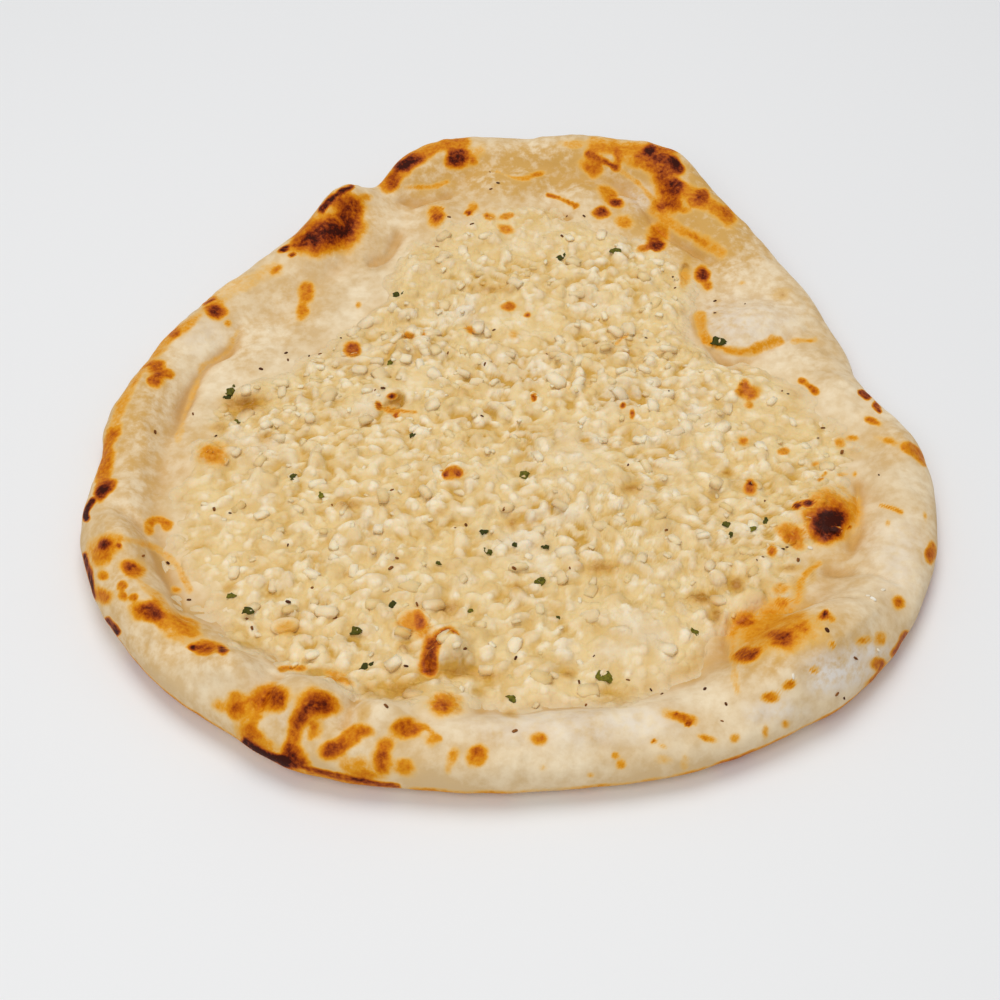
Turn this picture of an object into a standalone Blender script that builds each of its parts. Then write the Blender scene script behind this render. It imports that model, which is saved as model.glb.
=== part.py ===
"""Garlic naan: a flat bread with a puffy rolled rim, minced garlic and herb flakes baked on.

The bread lies in the XY plane, with its raised back edge towards +Y and +Z up.
The origin is the middle of its underside. Sizes below are in millimetres and degrees,
and places in the plan are measured from the point that the bearings turn about.
"""
import math
import random

import bmesh
import bpy
import numpy as np
from mathutils import Matrix, Vector

MM = 0.001

# Stations round the edge: bearing from +X, the outline's radius, the rim roll's width
# and the rim roll's height over the underside
EDGE = (
    (0, 116.2, 23, 11), (9, 109.2, 24, 10), (18, 111, 27, 9), (30, 114.5, 28, 9), (44, 121.3, 27, 9.5),
    (56, 130.5, 26, 11), (66, 142.8, 25, 13.5), (78, 142, 22, 12), (90, 140, 20, 11), (100, 139.5, 21, 12),
    (108, 134, 20, 11), (113.5, 125, 15, 8.5), (119, 126, 20, 12), (129, 115.6, 24, 14), (138, 114.5, 26, 11),
    (150, 115, 25, 11), (163, 117.6, 23, 12), (177, 121, 21, 13), (191, 123.8, 21, 13), (205, 131.6, 23, 13.5),
    (220, 136, 23, 14.5), (236, 137.2, 26, 15), (248, 138.8, 29, 15.5), (262, 136, 24, 14), (276, 134, 23, 13.5),
    (291, 135.3, 26, 14), (308, 136.8, 30, 15), (322, 134.2, 27, 14), (336, 129.3, 25, 12.5), (350, 124, 24, 12),
)
PLAN_MIDDLE = (0.2, 2.7)        # middle of the plan's box, which becomes the origin

CREST = 0.44            # share of the rim's width from the edge to its crest
EQUATOR = 0.42          # share of the rim's height where the edge stands furthest out
FALL_POWER = 1.25       # over 1, the rim stays full and falls late towards the middle
TUCK = 0.3              # share of the rim's width that the edge tucks under
MIDDLE = 7.5            # thickness of the middle
THINNEST = 3.0          # thickness under the deepest crease
LIFT = 11.0             # rise of the back edge over the rest
LIFT_FROM = 12.0        # the rise starts this far behind the middle
LIFT_RUN = 124.0        # and is reached over this length

# Bubbles: x, y, half length, half width, turn, height
BUBBLES = (
    (78, -96, 27, 17, 32, 7.5), (-58, 92, 19, 17, 60, 5.5), (-15, -94, 9, 7, 60, 5), (-18, -111, 10, 8, 0, 4.5),
    (-70, -106, 9, 8, -30, 4), (-50, -113, 11, 10, -20, 4.5), (-31, -119, 8, 7, -10, 3.5),
    (-106, -60, 12, 9, -60, 3.5), (-95, -84, 15, 9, -48, 2.5), (75, 42, 17, 14, 10, 5), (88, -42, 16, 12, 70, 4),
    (116, -16, 11, 8, 80, 2.5), (-88, -19, 9, 8, 0, 2.5), (-52, 31, 8, 6, 80, 2), (70, 14, 10, 8, 0, 2.5),
    (-14, -28, 12, 8, 0, 2.5), (-104, 38, 13, 8, 70, 2.5), (-3, 116, 14, 8, 0, 2.5), (24, 108, 10, 8, 20, 2.5),
    (42, 106, 9, 8, 40, 3), (-28, 97, 11, 9, 60, 2.5), (5, 62, 20, 12, 0, 2), (-37, 1, 13, 9, 20, -2),
    (-84, 4, 11, 8, 0, -2.5), (25, -32, 16, 12, 30, 2), (20, 20, 18, 12, 0, 1.8), (44, -86, 20, 13, 20, 2.5),
    (97, 8, 12, 9, 60, 2), (12, -120, 22, 8, 0, 1.5),
)
BUBBLE_FOOT = 1.18      # a bubble fades out at this many half widths
BUBBLE_POWER = 1.6      # over 1, its foot runs softly into the bread
EDGE_FADE = 8.0         # bubbles and creases fade out over this width at the edge

# Creases: depth, half width, then the points that each runs through
CREASES = (
    (3.5, 3.2, ((-110, -44), (-99, -57), (-91, -72), (-84, -89))),
    (3.0, 3.0, ((-88, 44), (-88, 34), (-97, 23), (-100, 8), (-101, -12))),
    (3.0, 3.0, ((-40, 92), (-41, 80), (-50, 73))),
    (3.0, 2.6, ((-42, 107), (-30, 106), (-22, 111))),
    (3.5, 2.6, ((35, 115), (45, 105), (50, 95), (60, 84), (68, 76))),
    (2.5, 2.6, ((10, 103), (20, 99))),
    (2.5, 2.6, ((59, 52), (60, 36), (67, 27), (70, 22))),
    (2.0, 2.6, ((70, 27), (80, 32), (90, 39))),
    (3.0, 2.6, ((57, -98), (56, -86), (62, -78), (74, -77), (90, -80))),
    (2.5, 2.6, ((84, -62), (96, -66), (104, -72))),
    (2.5, 2.6, ((100, -27), (98, -42), (94, -56))),
    (2.5, 2.6, ((-62, -118), (-57, -104))),
    (2.5, 2.6, ((-40, -124), (-38, -112))),
)

# Mesh of the bread
GRID = 40               # cells across the top
RIM_RINGS = 8           # rings of cells in the rim roll
RIM_CROWDING = 1.15     # over 1, the rings crowd towards the edge
UNDER_RINGS = 2         # rings of cells in the tucked-under edge
UNDER_STEP = 4          # border cells to one cell of the underside
UNDER_MARGIN = 5.0      # flat ring between the tucked edge and the underside's cells

# Minced garlic: bearing, then how far out it reaches
GARLIC_REACH = (
    (0, 88), (22, 82), (40, 84), (60, 84), (83, 78), (104, 72), (124, 66), (150, 68), (170, 76), (190, 86),
    (210, 102), (228, 110), (248, 106), (265, 104), (290, 106), (304, 99), (322, 92), (340, 94),
)
GARLIC_BITS = 160
GARLIC_LENGTH = (4.6, 7.4)      # shortest and longest bit
GARLIC_WIDTH = (0.65, 0.85)     # shares of the length
GARLIC_HEIGHT = (0.55, 0.75)    # shares of the length
GARLIC_SINK = 0.3               # share of a bit's height that is baked into the bread
GARLIC_STRAY = 2.2              # how far a bit lies from its even place
GARLIC_LEAN = 0.3               # steepest lean, in radians

# Round browned slices of garlic: x, y, across
SLICES = ((-27, -84, 10), (-61, -86, 8))
SLICE_THICK = 3.2
SLICE_SIDES = 12

# Herb flakes: x, y, length
HERBS = (
    (-88, 11, 5), (-84, -4, 5), (-39, 24, 6), (-64, -28, 5), (-9, -51, 5), (-7, -58, 6), (8, -68, 8),
    (-36, -80, 5), (-75, -78, 5), (-38, -98, 6), (25, -102, 9), (13, -82, 5), (48, -86, 5), (61, -47, 6),
    (67, -48, 5), (71, -45, 6), (4, -27, 6), (63, 34, 7), (34, 80, 7), (15, 76, 7),
)
HERB_WIDTH = 0.55               # share of the length
HERB_THICK = 1.3
HERB_RISE = 0.5                 # how far a flake's middle stands over the bread
HERB_SIDES = 6
TAPER = 0.87                    # upper face of a flake or slice to its lower one

SEED = 11
SMOOTH_ANGLE = 40


def around(table, column):
    """Smooth closed curve through one column of a table of bearings, read at bearings in radians."""
    turn = 2 * math.pi
    knots = np.radians([row[0] for row in table])
    values = np.array([row[column] for row in table], float)
    knots = np.concatenate((knots[-2:] - turn, knots, knots[:2] + turn))
    values = np.concatenate((values[-2:], values, values[:2]))
    slopes = (values[2:] - values[:-2]) / (knots[2:] - knots[:-2])

    def read(bearing):
        bearing = np.mod(bearing, turn)
        low = np.clip(np.searchsorted(knots, bearing, side="right") - 1, 1, len(knots) - 3)
        span = knots[low + 1] - knots[low]
        t = (bearing - knots[low]) / span
        start = (2 * t ** 3 - 3 * t ** 2 + 1) * values[low] + (t ** 3 - 2 * t ** 2 + t) * span * slopes[low - 1]
        end = (3 * t ** 2 - 2 * t ** 3) * values[low + 1] + (t ** 3 - t ** 2) * span * slopes[low]
        return start + end

    return read


outline = around(EDGE, 1)
rim_width = around(EDGE, 2)
rim_height = around(EDGE, 3)
garlic_reach = around(GARLIC_REACH, 1)


def lift(y):
    """Rise of the sheet where the bread bows up towards its back edge."""
    return LIFT * np.clip((y - LIFT_FROM) / LIFT_RUN, 0, None) ** 2


def roll(share, height):
    """Thickness across the rim roll, from the edge at share 0 to its inner foot at share 1."""
    outer = np.clip(1 - share / CREST, 0, 1)
    inner = np.clip((share - CREST) / (1 - CREST), 0, 1)
    rise = height * (EQUATOR + (1 - EQUATOR) * np.sqrt(1 - outer ** 2))
    fall = 0.5 + 0.5 * np.cos(math.pi * inner ** FALL_POWER)
    return np.where(share < CREST, rise, MIDDLE + (height - MIDDLE) * fall)


def bubbles(x, y):
    """Height that the bubbles add."""
    total = np.zeros_like(x)
    for middle_x, middle_y, length, width, turn, height in BUBBLES:
        c, s = math.cos(math.radians(turn)), math.sin(math.radians(turn))
        u = ((x - middle_x) * c + (y - middle_y) * s) / length
        v = ((y - middle_y) * c - (x - middle_x) * s) / width
        total += height * np.clip(1 - (u * u + v * v) / BUBBLE_FOOT ** 2, 0, 1) ** BUBBLE_POWER
    return total


def distance_to_line(x, y, points):
    """Distance from each place to a line through the points."""
    nearest = np.full_like(x, math.inf)
    for (ax, ay), (bx, by) in zip(points, points[1:]):
        length_squared = (bx - ax) ** 2 + (by - ay) ** 2
        t = np.clip(((x - ax) * (bx - ax) + (y - ay) * (by - ay)) / length_squared, 0, 1)
        nearest = np.minimum(nearest, np.hypot(x - ax - t * (bx - ax), y - ay - t * (by - ay)))
    return nearest


def creases(x, y):
    """Depth that the creases take away."""
    return sum(depth * np.exp(-(distance_to_line(x, y, points) / half) ** 2) for depth, half, points in CREASES)


def top(x, y):
    """Height of the bread's upper face."""
    bearing = np.arctan2(y, x)
    inside = outline(bearing) - np.hypot(x, y)
    thickness = roll(np.clip(inside / rim_width(bearing), 0, 1), rim_height(bearing))
    relief = (bubbles(x, y) - creases(x, y)) * np.clip(inside / EDGE_FADE, 0, 1)
    return lift(y) + np.maximum(thickness + relief, THINNEST)


def rings_of(cells):
    """Ring number and bearing of each point of a square grid that is laid out as a disc."""
    steps = np.arange(cells + 1) - cells / 2
    i, j = np.meshgrid(steps, steps, indexing="ij")
    wide = np.abs(i) >= np.abs(j)
    slope = np.where(wide, j, i) / np.where(wide, np.where(i == 0, 1, i), j) * math.pi / 4
    half_turn = np.where(np.where(wide, i, j) < 0, math.pi, 0)
    bearing = half_turn + np.where(wide, slope, math.pi / 2 - slope)
    return np.maximum(np.abs(i), np.abs(j)), bearing


def border_of(cells):
    """Grid places round the border, anticlockwise."""
    right = [(cells, b) for b in range(cells)]
    back = [(a, cells) for a in range(cells, 0, -1)]
    left = [(0, b) for b in range(cells, 0, -1)]
    front = [(a, 0) for a in range(cells)]
    return right + back + left + front


def add_grid(mesh, x, y, z, upward):
    """Grid of faces through the points, and its vertices by their place."""
    cells = len(x) - 1
    verts = [[mesh.verts.new((x[a, b] * MM, y[a, b] * MM, z[a, b] * MM)) for b in range(cells + 1)]
             for a in range(cells + 1)]
    for a in range(cells):
        for b in range(cells):
            corners = [verts[a][b], verts[a + 1][b], verts[a + 1][b + 1], verts[a][b + 1]]
            mesh.faces.new(corners if upward else corners[::-1])
    return verts


def add_top(mesh):
    """Upper face, whose rings crowd towards the edge. Gives its border and the border's bearings."""
    ring, bearing = rings_of(GRID)
    middle_rings = GRID // 2 - RIM_RINGS
    across_rim = np.clip((ring - middle_rings) / RIM_RINGS, 0, 1)
    across_middle = np.clip(ring / middle_rings, 0, 1)
    width = rim_width(bearing)
    inside = width * (1 - np.sin(across_rim * math.pi / 2) ** RIM_CROWDING)
    radius = across_middle * (outline(bearing) - width) + (across_rim > 0) * (width - inside)
    x, y = radius * np.cos(bearing), radius * np.sin(bearing)
    verts = add_grid(mesh, x, y, top(x, y), upward=True)
    border = border_of(GRID)
    return [verts[a][b] for a, b in border], np.array([bearing[a, b] for a, b in border])


def add_tucked_edge(mesh, edge, bearing):
    """Rounds the edge down to the underside, ring by ring, and gives the last ring."""
    tuck = TUCK * rim_width(bearing)
    for step in range(1, UNDER_RINGS + 1):
        turn = step / UNDER_RINGS * math.pi / 2
        radius = outline(bearing) - tuck * (1 - math.cos(turn))
        x, y = radius * np.cos(bearing), radius * np.sin(bearing)
        z = lift(y) + EQUATOR * rim_height(bearing) * (1 - math.sin(turn))
        lower = [mesh.verts.new(Vector(point) * MM) for point in zip(x, y, z)]
        for k, vert in enumerate(edge):
            after = (k + 1) % len(edge)
            mesh.faces.new((vert, lower[k], lower[after], edge[after]))
        edge = lower
    return edge


def add_underside(mesh, edge):
    """Closes the underside with a coarser grid that follows the lift."""
    cells = GRID // UNDER_STEP
    ring, bearing = rings_of(cells)
    radius = ring / ring.max() * (outline(bearing) - TUCK * rim_width(bearing) - UNDER_MARGIN)
    x, y = radius * np.cos(bearing), radius * np.sin(bearing)
    verts = add_grid(mesh, x, y, lift(y), upward=False)
    inner = [verts[a][b] for a, b in border_of(cells)]
    half_step = UNDER_STEP // 2
    for k, vert in enumerate(inner):
        after = inner[(k + 1) % len(inner)]
        outer = [edge[(UNDER_STEP * k + n) % len(edge)] for n in range(UNDER_STEP + 1)]
        for n in range(UNDER_STEP):
            mesh.faces.new((outer[n + 1], outer[n], vert if n < half_step else after))
        mesh.faces.new((outer[half_step], vert, after))


def bread_mesh():
    """The bread without its toppings, as one closed skin."""
    mesh = bmesh.new()
    edge, bearing = add_top(mesh)
    edge = add_tucked_edge(mesh, edge, bearing)
    add_underside(mesh, edge)
    bmesh.ops.triangulate(mesh, faces=mesh.faces)
    return mesh


def on_top(x, y, rise):
    """Point that stands over the bread's upper face."""
    return Vector((x, y, float(top(np.array(x, float), np.array(y, float))) + rise)) * MM


def set_down(mesh, made, place, spin, lean, size):
    """Sizes, turns and leans a new shape, and puts it in its place."""
    turn = Matrix.Rotation(spin, 4, "Z") @ Matrix.Rotation(lean, 4, "X") @ Matrix.Diagonal((*size, 1))
    bmesh.ops.transform(mesh, matrix=Matrix.Translation(place) @ turn, verts=made["verts"])


def garlic_bit(draw, x, y):
    """One rounded bit of minced garlic."""
    mesh = bmesh.new()
    length = draw.uniform(*GARLIC_LENGTH)
    size = (length, length * draw.uniform(*GARLIC_WIDTH), length * draw.uniform(*GARLIC_HEIGHT))
    made = bmesh.ops.create_icosphere(mesh, subdivisions=1, radius=MM / 2)
    spin, lean = draw.uniform(0, math.pi), draw.uniform(-GARLIC_LEAN, GARLIC_LEAN)
    set_down(mesh, made, on_top(x, y, size[2] * (0.5 - GARLIC_SINK)), spin, lean, size)
    return mesh


def flat_piece(x, y, rise, length, width, thick, sides, spin):
    """One herb flake or slice of garlic lying on the bread."""
    mesh = bmesh.new()
    made = bmesh.ops.create_cone(mesh, cap_ends=True, segments=sides, radius1=MM / 2, radius2=TAPER * MM / 2,
                                 depth=MM)
    set_down(mesh, made, on_top(x, y, rise), spin, 0.0, (length, width, thick))
    return mesh


def garlic_places(draw):
    """Places on an even spiral over the garlic region, each a little astray."""
    golden_angle = math.pi * (3 - math.sqrt(5))
    for k in range(GARLIC_BITS):
        bearing = k * golden_angle
        radius = math.sqrt((k + 0.5) / GARLIC_BITS) * float(garlic_reach(bearing))
        x = radius * math.cos(bearing) + draw.uniform(-GARLIC_STRAY, GARLIC_STRAY)
        y = radius * math.sin(bearing) + draw.uniform(-GARLIC_STRAY, GARLIC_STRAY)
        yield x, y


def add_toppings(collection):
    """Garlic bits, browned slices and herb flakes, one object each."""
    draw = random.Random(SEED)
    for x, y in garlic_places(draw):
        add_object("garlic_bit", garlic_bit(draw, x, y), collection)
    for x, y, across in SLICES:
        mesh = flat_piece(x, y, 0.3 * SLICE_THICK, across, across, SLICE_THICK, SLICE_SIDES, 0.0)
        add_object("garlic_slice", mesh, collection)
    for x, y, length in HERBS:
        spin = draw.uniform(0, math.pi)
        mesh = flat_piece(x, y, HERB_RISE, length, HERB_WIDTH * length, HERB_THICK, HERB_SIDES, spin)
        add_object("herb_flake", mesh, collection)


def add_object(name, mesh, collection):
    """Object with the finished mesh, linked to a collection."""
    data = bpy.data.meshes.new(name)
    mesh.to_mesh(data)
    mesh.free()
    made = bpy.data.objects.new(name, data)
    collection.objects.link(made)
    return made


def fuse(bread, toppings):
    """Joins the toppings to the bread by one union, then removes them."""
    union = bread.modifiers.new("Toppings", "BOOLEAN")
    union.operation = "UNION"
    union.operand_type = "COLLECTION"
    union.collection = toppings
    union.solver = "EXACT"
    graph = bpy.context.evaluated_depsgraph_get()
    fused = bpy.data.meshes.new_from_object(bread.evaluated_get(graph))
    bread.modifiers.clear()
    bread.data = fused
    for piece in list(toppings.objects):
        bpy.data.objects.remove(piece, do_unlink=True)
    bpy.data.collections.remove(toppings)


def body_of(start):
    """All faces that hang together with one face."""
    body, front = {start}, [start]
    while front:
        for edge in front.pop().edges:
            for face in edge.link_faces:
                if face not in body:
                    body.add(face)
                    front.append(face)
    return body


def keep_main_body(bread):
    """Drops any scrap that the union left loose, and splits every face into triangles."""
    mesh = bmesh.new()
    mesh.from_mesh(bread.data)
    left, bodies = set(mesh.faces), []
    while left:
        bodies.append(body_of(next(iter(left))))
        left -= bodies[-1]
    main = max(bodies, key=len)
    bmesh.ops.delete(mesh, geom=[face for face in mesh.faces if face not in main], context="FACES")
    bmesh.ops.triangulate(mesh, faces=mesh.faces)
    mesh.to_mesh(bread.data)
    mesh.free()


def baked_bread_material():
    """Pale baked dough, lightly buttered."""
    material = bpy.data.materials.new("baked_bread")
    material.use_nodes = True
    shader = material.node_tree.nodes["Principled BSDF"]
    shader.inputs["Base Color"].default_value = (0.62, 0.43, 0.2, 1)
    shader.inputs["Roughness"].default_value = 0.5
    shader.inputs["Metallic"].default_value = 0.0
    return material


def build():
    """Makes the whole bread."""
    for old in list(bpy.data.objects):
        bpy.data.objects.remove(old, do_unlink=True)
    scene = bpy.context.scene.collection
    bread = add_object("garlic_naan", bread_mesh(), scene)
    toppings = bpy.data.collections.new("toppings")
    scene.children.link(toppings)
    add_toppings(toppings)
    fuse(bread, toppings)
    keep_main_body(bread)
    bread.data.transform(Matrix.Translation((-PLAN_MIDDLE[0] * MM, -PLAN_MIDDLE[1] * MM, 0)))
    bread.data.materials.clear()
    bread.data.materials.append(baked_bread_material())
    bread.data.shade_smooth()
    bread.data.set_sharp_from_angle(angle=math.radians(SMOOTH_ANGLE))


build()
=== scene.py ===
"""Looks of the garlic naan: the dough and its scorch marks, the minced garlic, oil, herbs and crumbs.

Sizes are in millimetres and degrees, and places in the plan are measured from the point
that the bearings turn about. A mark is placed by the pixel of the 1000 x 1000 photograph
that shows it: the ray through that pixel is followed from the camera onto the bread.
"""
import math
import random

import bmesh
import bpy
import numpy as np
from mathutils import Euler, Matrix, Vector


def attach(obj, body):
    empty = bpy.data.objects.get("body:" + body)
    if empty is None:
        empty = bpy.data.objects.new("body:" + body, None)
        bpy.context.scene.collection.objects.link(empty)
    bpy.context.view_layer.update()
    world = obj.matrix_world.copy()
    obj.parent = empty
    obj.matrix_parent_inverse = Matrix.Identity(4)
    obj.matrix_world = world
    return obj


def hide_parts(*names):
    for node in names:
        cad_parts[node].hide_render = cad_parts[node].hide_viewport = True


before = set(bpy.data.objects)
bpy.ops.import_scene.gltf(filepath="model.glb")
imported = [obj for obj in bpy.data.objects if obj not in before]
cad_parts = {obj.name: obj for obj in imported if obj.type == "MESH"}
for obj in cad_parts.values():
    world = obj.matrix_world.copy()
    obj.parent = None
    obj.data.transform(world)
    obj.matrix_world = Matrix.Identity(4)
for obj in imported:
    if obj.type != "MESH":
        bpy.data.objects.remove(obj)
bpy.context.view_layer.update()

MM = 0.001

# Camera of the photograph
CAMERA_PLACE = (0.0007, -0.3566, 0.3172)
CAMERA_TURN = (math.radians(45.72), 0.0, math.radians(0.7593))
CAMERA_LENS = 55.96
CAMERA_SENSOR = 36.0
PHOTO_SIDE = 1000
PHOTO_MIDDLE = PHOTO_SIDE / 2
FOCAL = PHOTO_SIDE * CAMERA_LENS / CAMERA_SENSOR    # in pixels
BREAD_MIDDLE = (500, 480)       # pixel of the bread's middle
NUDGES = 16                     # tries to find the bread at a pixel near its edge
NUDGE = 0.004                   # each try moves this share of the way to the middle

# Stations round the edge: bearing from +X, the outline's radius, the rim roll's width
# and the rim roll's height over the underside
EDGE = (
    (0, 116.2, 23, 11), (9, 109.2, 24, 10), (18, 111, 27, 9), (30, 114.5, 28, 9), (44, 121.3, 27, 9.5),
    (56, 130.5, 26, 11), (66, 142.8, 25, 13.5), (78, 142, 22, 12), (90, 140, 20, 11), (100, 139.5, 21, 12),
    (108, 134, 20, 11), (113.5, 125, 15, 8.5), (119, 126, 20, 12), (129, 115.6, 24, 14),
    (138, 114.5, 26, 11), (150, 115, 25, 11), (163, 117.6, 23, 12), (177, 121, 21, 13),
    (191, 123.8, 21, 13), (205, 131.6, 23, 13.5), (220, 136, 23, 14.5), (236, 137.2, 26, 15),
    (248, 138.8, 29, 15.5), (262, 136, 24, 14), (276, 134, 23, 13.5), (291, 135.3, 26, 14),
    (308, 136.8, 30, 15), (322, 134.2, 27, 14), (336, 129.3, 25, 12.5), (350, 124, 24, 12),
)
PLAN_MIDDLE = (0.2, 2.7)        # middle of the plan's box, which becomes the origin

CREST = 0.44            # share of the rim's width from the edge to its crest
EQUATOR = 0.42          # share of the rim's height where the edge stands furthest out
FALL_POWER = 1.25       # over 1, the rim stays full and falls late towards the middle
TUCK = 0.3              # share of the rim's width that the edge tucks under
MIDDLE = 7.5            # thickness of the middle
THINNEST = 3.0          # thickness under the deepest crease
LIFT = 11.0             # rise of the back edge over the rest
LIFT_FROM = 12.0        # the rise starts this far behind the middle
LIFT_RUN = 124.0        # and is reached over this length

# Bubbles: x, y, half length, half width, turn, height
BUBBLES = (
    (78, -96, 27, 17, 32, 7.5), (-58, 92, 19, 17, 60, 5.5), (-15, -94, 9, 7, 60, 5),
    (-18, -111, 10, 8, 0, 4.5), (-70, -106, 9, 8, -30, 4), (-50, -113, 11, 10, -20, 4.5),
    (-31, -119, 8, 7, -10, 3.5), (-106, -60, 12, 9, -60, 3.5), (-95, -84, 15, 9, -48, 2.5),
    (75, 42, 17, 14, 10, 5), (88, -42, 16, 12, 70, 4), (116, -16, 11, 8, 80, 2.5), (-88, -19, 9, 8, 0, 2.5),
    (-52, 31, 8, 6, 80, 2), (70, 14, 10, 8, 0, 2.5), (-14, -28, 12, 8, 0, 2.5), (-104, 38, 13, 8, 70, 2.5),
    (-3, 116, 14, 8, 0, 2.5), (24, 108, 10, 8, 20, 2.5), (42, 106, 9, 8, 40, 3), (-28, 97, 11, 9, 60, 2.5),
    (5, 62, 20, 12, 0, 2), (-37, 1, 13, 9, 20, -2), (-84, 4, 11, 8, 0, -2.5), (25, -32, 16, 12, 30, 2),
    (20, 20, 18, 12, 0, 1.8), (44, -86, 20, 13, 20, 2.5), (97, 8, 12, 9, 60, 2), (12, -120, 22, 8, 0, 1.5),
)
BUBBLE_FOOT = 1.18      # a bubble fades out at this many half widths
BUBBLE_POWER = 1.6      # over 1, its foot runs softly into the bread
EDGE_FADE = 8.0         # bubbles and creases fade out over this width at the edge

# Creases: depth, half width, then the points that each runs through
CREASES = (
    (3.5, 3.2, ((-110, -44), (-99, -57), (-91, -72), (-84, -89))),
    (3.0, 3.0, ((-88, 44), (-88, 34), (-97, 23), (-100, 8), (-101, -12))),
    (3.0, 3.0, ((-40, 92), (-41, 80), (-50, 73))),
    (3.0, 2.6, ((-42, 107), (-30, 106), (-22, 111))),
    (3.5, 2.6, ((35, 115), (45, 105), (50, 95), (60, 84), (68, 76))),
    (2.5, 2.6, ((10, 103), (20, 99))),
    (2.5, 2.6, ((59, 52), (60, 36), (67, 27), (70, 22))),
    (2.0, 2.6, ((70, 27), (80, 32), (90, 39))),
    (3.0, 2.6, ((57, -98), (56, -86), (62, -78), (74, -77), (90, -80))),
    (2.5, 2.6, ((84, -62), (96, -66), (104, -72))),
    (2.5, 2.6, ((100, -27), (98, -42), (94, -56))),
    (2.5, 2.6, ((-62, -118), (-57, -104))),
    (2.5, 2.6, ((-40, -124), (-38, -112))),
)

# Mesh of the bread
TOP_CELLS = 280         # cells across the top
RIM_RINGS = 56          # rings of cells in the rim roll
RIM_CROWDING = 1.15     # over 1, the rings crowd towards the edge
SHOULDER_RINGS = 42     # rings of cells inside the rim roll, where the bread still shows
SHOULDER = 26.0         # and the width that they cover
TUCK_RINGS = 8          # rings of cells in the tucked-under edge
UNDER_CELLS = 84        # cells across the underside
UNDER_MARGIN = 4.0      # flat ring between the tucked edge and the underside's cells

# Minced garlic: bearing, then how far out it reaches
GARLIC_REACH = (
    (0, 92), (12, 86), (24, 68), (38, 70), (50, 85), (66, 95), (85, 101), (101, 96), (113, 84), (129, 67),
    (149, 63), (167, 74), (178, 87), (195, 94), (210, 105), (228, 112), (248, 116), (265, 113), (290, 108),
    (306, 99), (322, 97), (342, 99),
)
GARLIC_FADE = 24.0      # the garlic thins out over this width
LAYER_CELLS = 292       # cells across the layer of garlic that has melted together
LAYER_FOOT = 0.7        # how deep the layer's border sinks into the bread
LAYER_MARGIN = 5        # the layer reaches this far past the last garlic
REACH_UNEVEN = 4.5      # the garlic's border strays by this much
REACH_PATCH = 9         # over this distance
LOOSE_FROM = 0.25       # loose bits lie where the garlic's share is over this

# Small relief of the skin: wavelength and height of each rumple
RUMPLES = ((26, 1.1), (11, 0.65), (5, 0.3), (2.4, 0.1))
EDGE_RUMPLES = ((14, 0.7), (5, 0.25))
EDGE_RUMPLES_AT = 120               # radius at which the edge's rumples are read
TUCK_RUMPLE = 0.25
UNDER_HOLLOWS = 0.8                 # depth of the shallow hollows of the underside
SKIN_FADE = 3.0                     # the relief fades out over this width at the edge
BLISTERS = 420
BLISTER_ZONE = 0.3                  # share of the radius, from the edge, that has blisters
BLISTER_CROWDING = 1.3              # over 1, they crowd towards the edge
BLISTER_SIZE = (1.2, 4.6)
BLISTER_SLIMNESS = (0.6, 1)
BLISTER_RISE = (0.12, 0.55)
BLISTER_POWER = 1.5

# First seed of each kind of noise, so that no two are alike
SEED = 11
REACH_NOISE = 5
CREASE_NOISE = 12
SKIN_NOISE = 20
SLICE_NOISE = 30
EDGE_NOISE = 40
TUCK_NOISE = 50
UNDER_NOISE = 60
BAKED_NOISE = 65
MARK_NOISE = 70
LOOSE_NOISE = 81
FILM_NOISE = 90
GARLIC_SHAPES_SEED = 100
FLAKE_SHAPES_SEED = 300
SPECK_SHAPES_SEED = 500

# Garlic: shortest, usual and longest bit
COARSE_LENGTH = (3.0, 5.2, 8.6)
FINE_LENGTH = (1.1, 1.8, 2.8)
MELTED_COARSE = 2900                # bits of the layer, which have melted together
MELTED_FINE = 4200
MELTED_STRAY = 1.6                  # how far they stray from an even spread
MELTED_WIDTH = (0.42, 0.78)         # share of the length
MELTED_RISE = (0.34, 0.56)          # share of the width
MELTED_SINK = 0.12                  # share of the length
MELTED_POWER = 0.55                 # under 1, a bit has a full top and steep sides
STACKED_SHARE = 0.22                # of those bits, the ones that lie on others
MELT = 0.16                         # softening of the edges between them
FILM_LEVEL = -0.7                   # butter fills the gaps up to this height over their mean
FILM_RUMPLE = 0.6                   # more in some places and less in others
FILM_PATCH = 22                     # wavelength of that
SMOOTH_FILM = 1.0                   # and by this more where it has run together
LEVEL_SPREAD = 1.8                  # the garlic's mean height is taken over this distance
LOOSE_LENGTH = (2.4, 3.8, 6.0)
LOOSE_COARSE = 340                  # bits that lie loose on the layer
LOOSE_FINE = 400
LOOSE_SHAPES = 12
LOOSE_FINE_SHAPES = 4               # the first ones of those are also the fine bits' shapes
LOOSE_ROUNDNESS = (0.3, 0.5, 0.7)   # a bit's shape lies this far between a cube and a ball
LOOSE_UNEVEN = 0.12
LOOSE_STRAY = 2.4
LOOSE_LEAN = 0.25                   # usual lean, in radians
LOOSE_WIDTH = (0.45, 0.75)          # shares of the length
LOOSE_HEIGHT = (0.3, 0.45)
LOOSE_LEVEL = (-0.25, 0.05)         # where the middle lies over the layer, as a share of the height
LOOSE_PATCH = 13                    # they lie in patches of about this width
OIL_CLEARS = 0.9                    # share of the bits that a pool of oil keeps off
OIL_BARE = 0.2                      # no film stands where the oil is stronger than this
SMOOTH_CLEARS = 0.8                 # share of the loose bits that smooth butter keeps off

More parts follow.
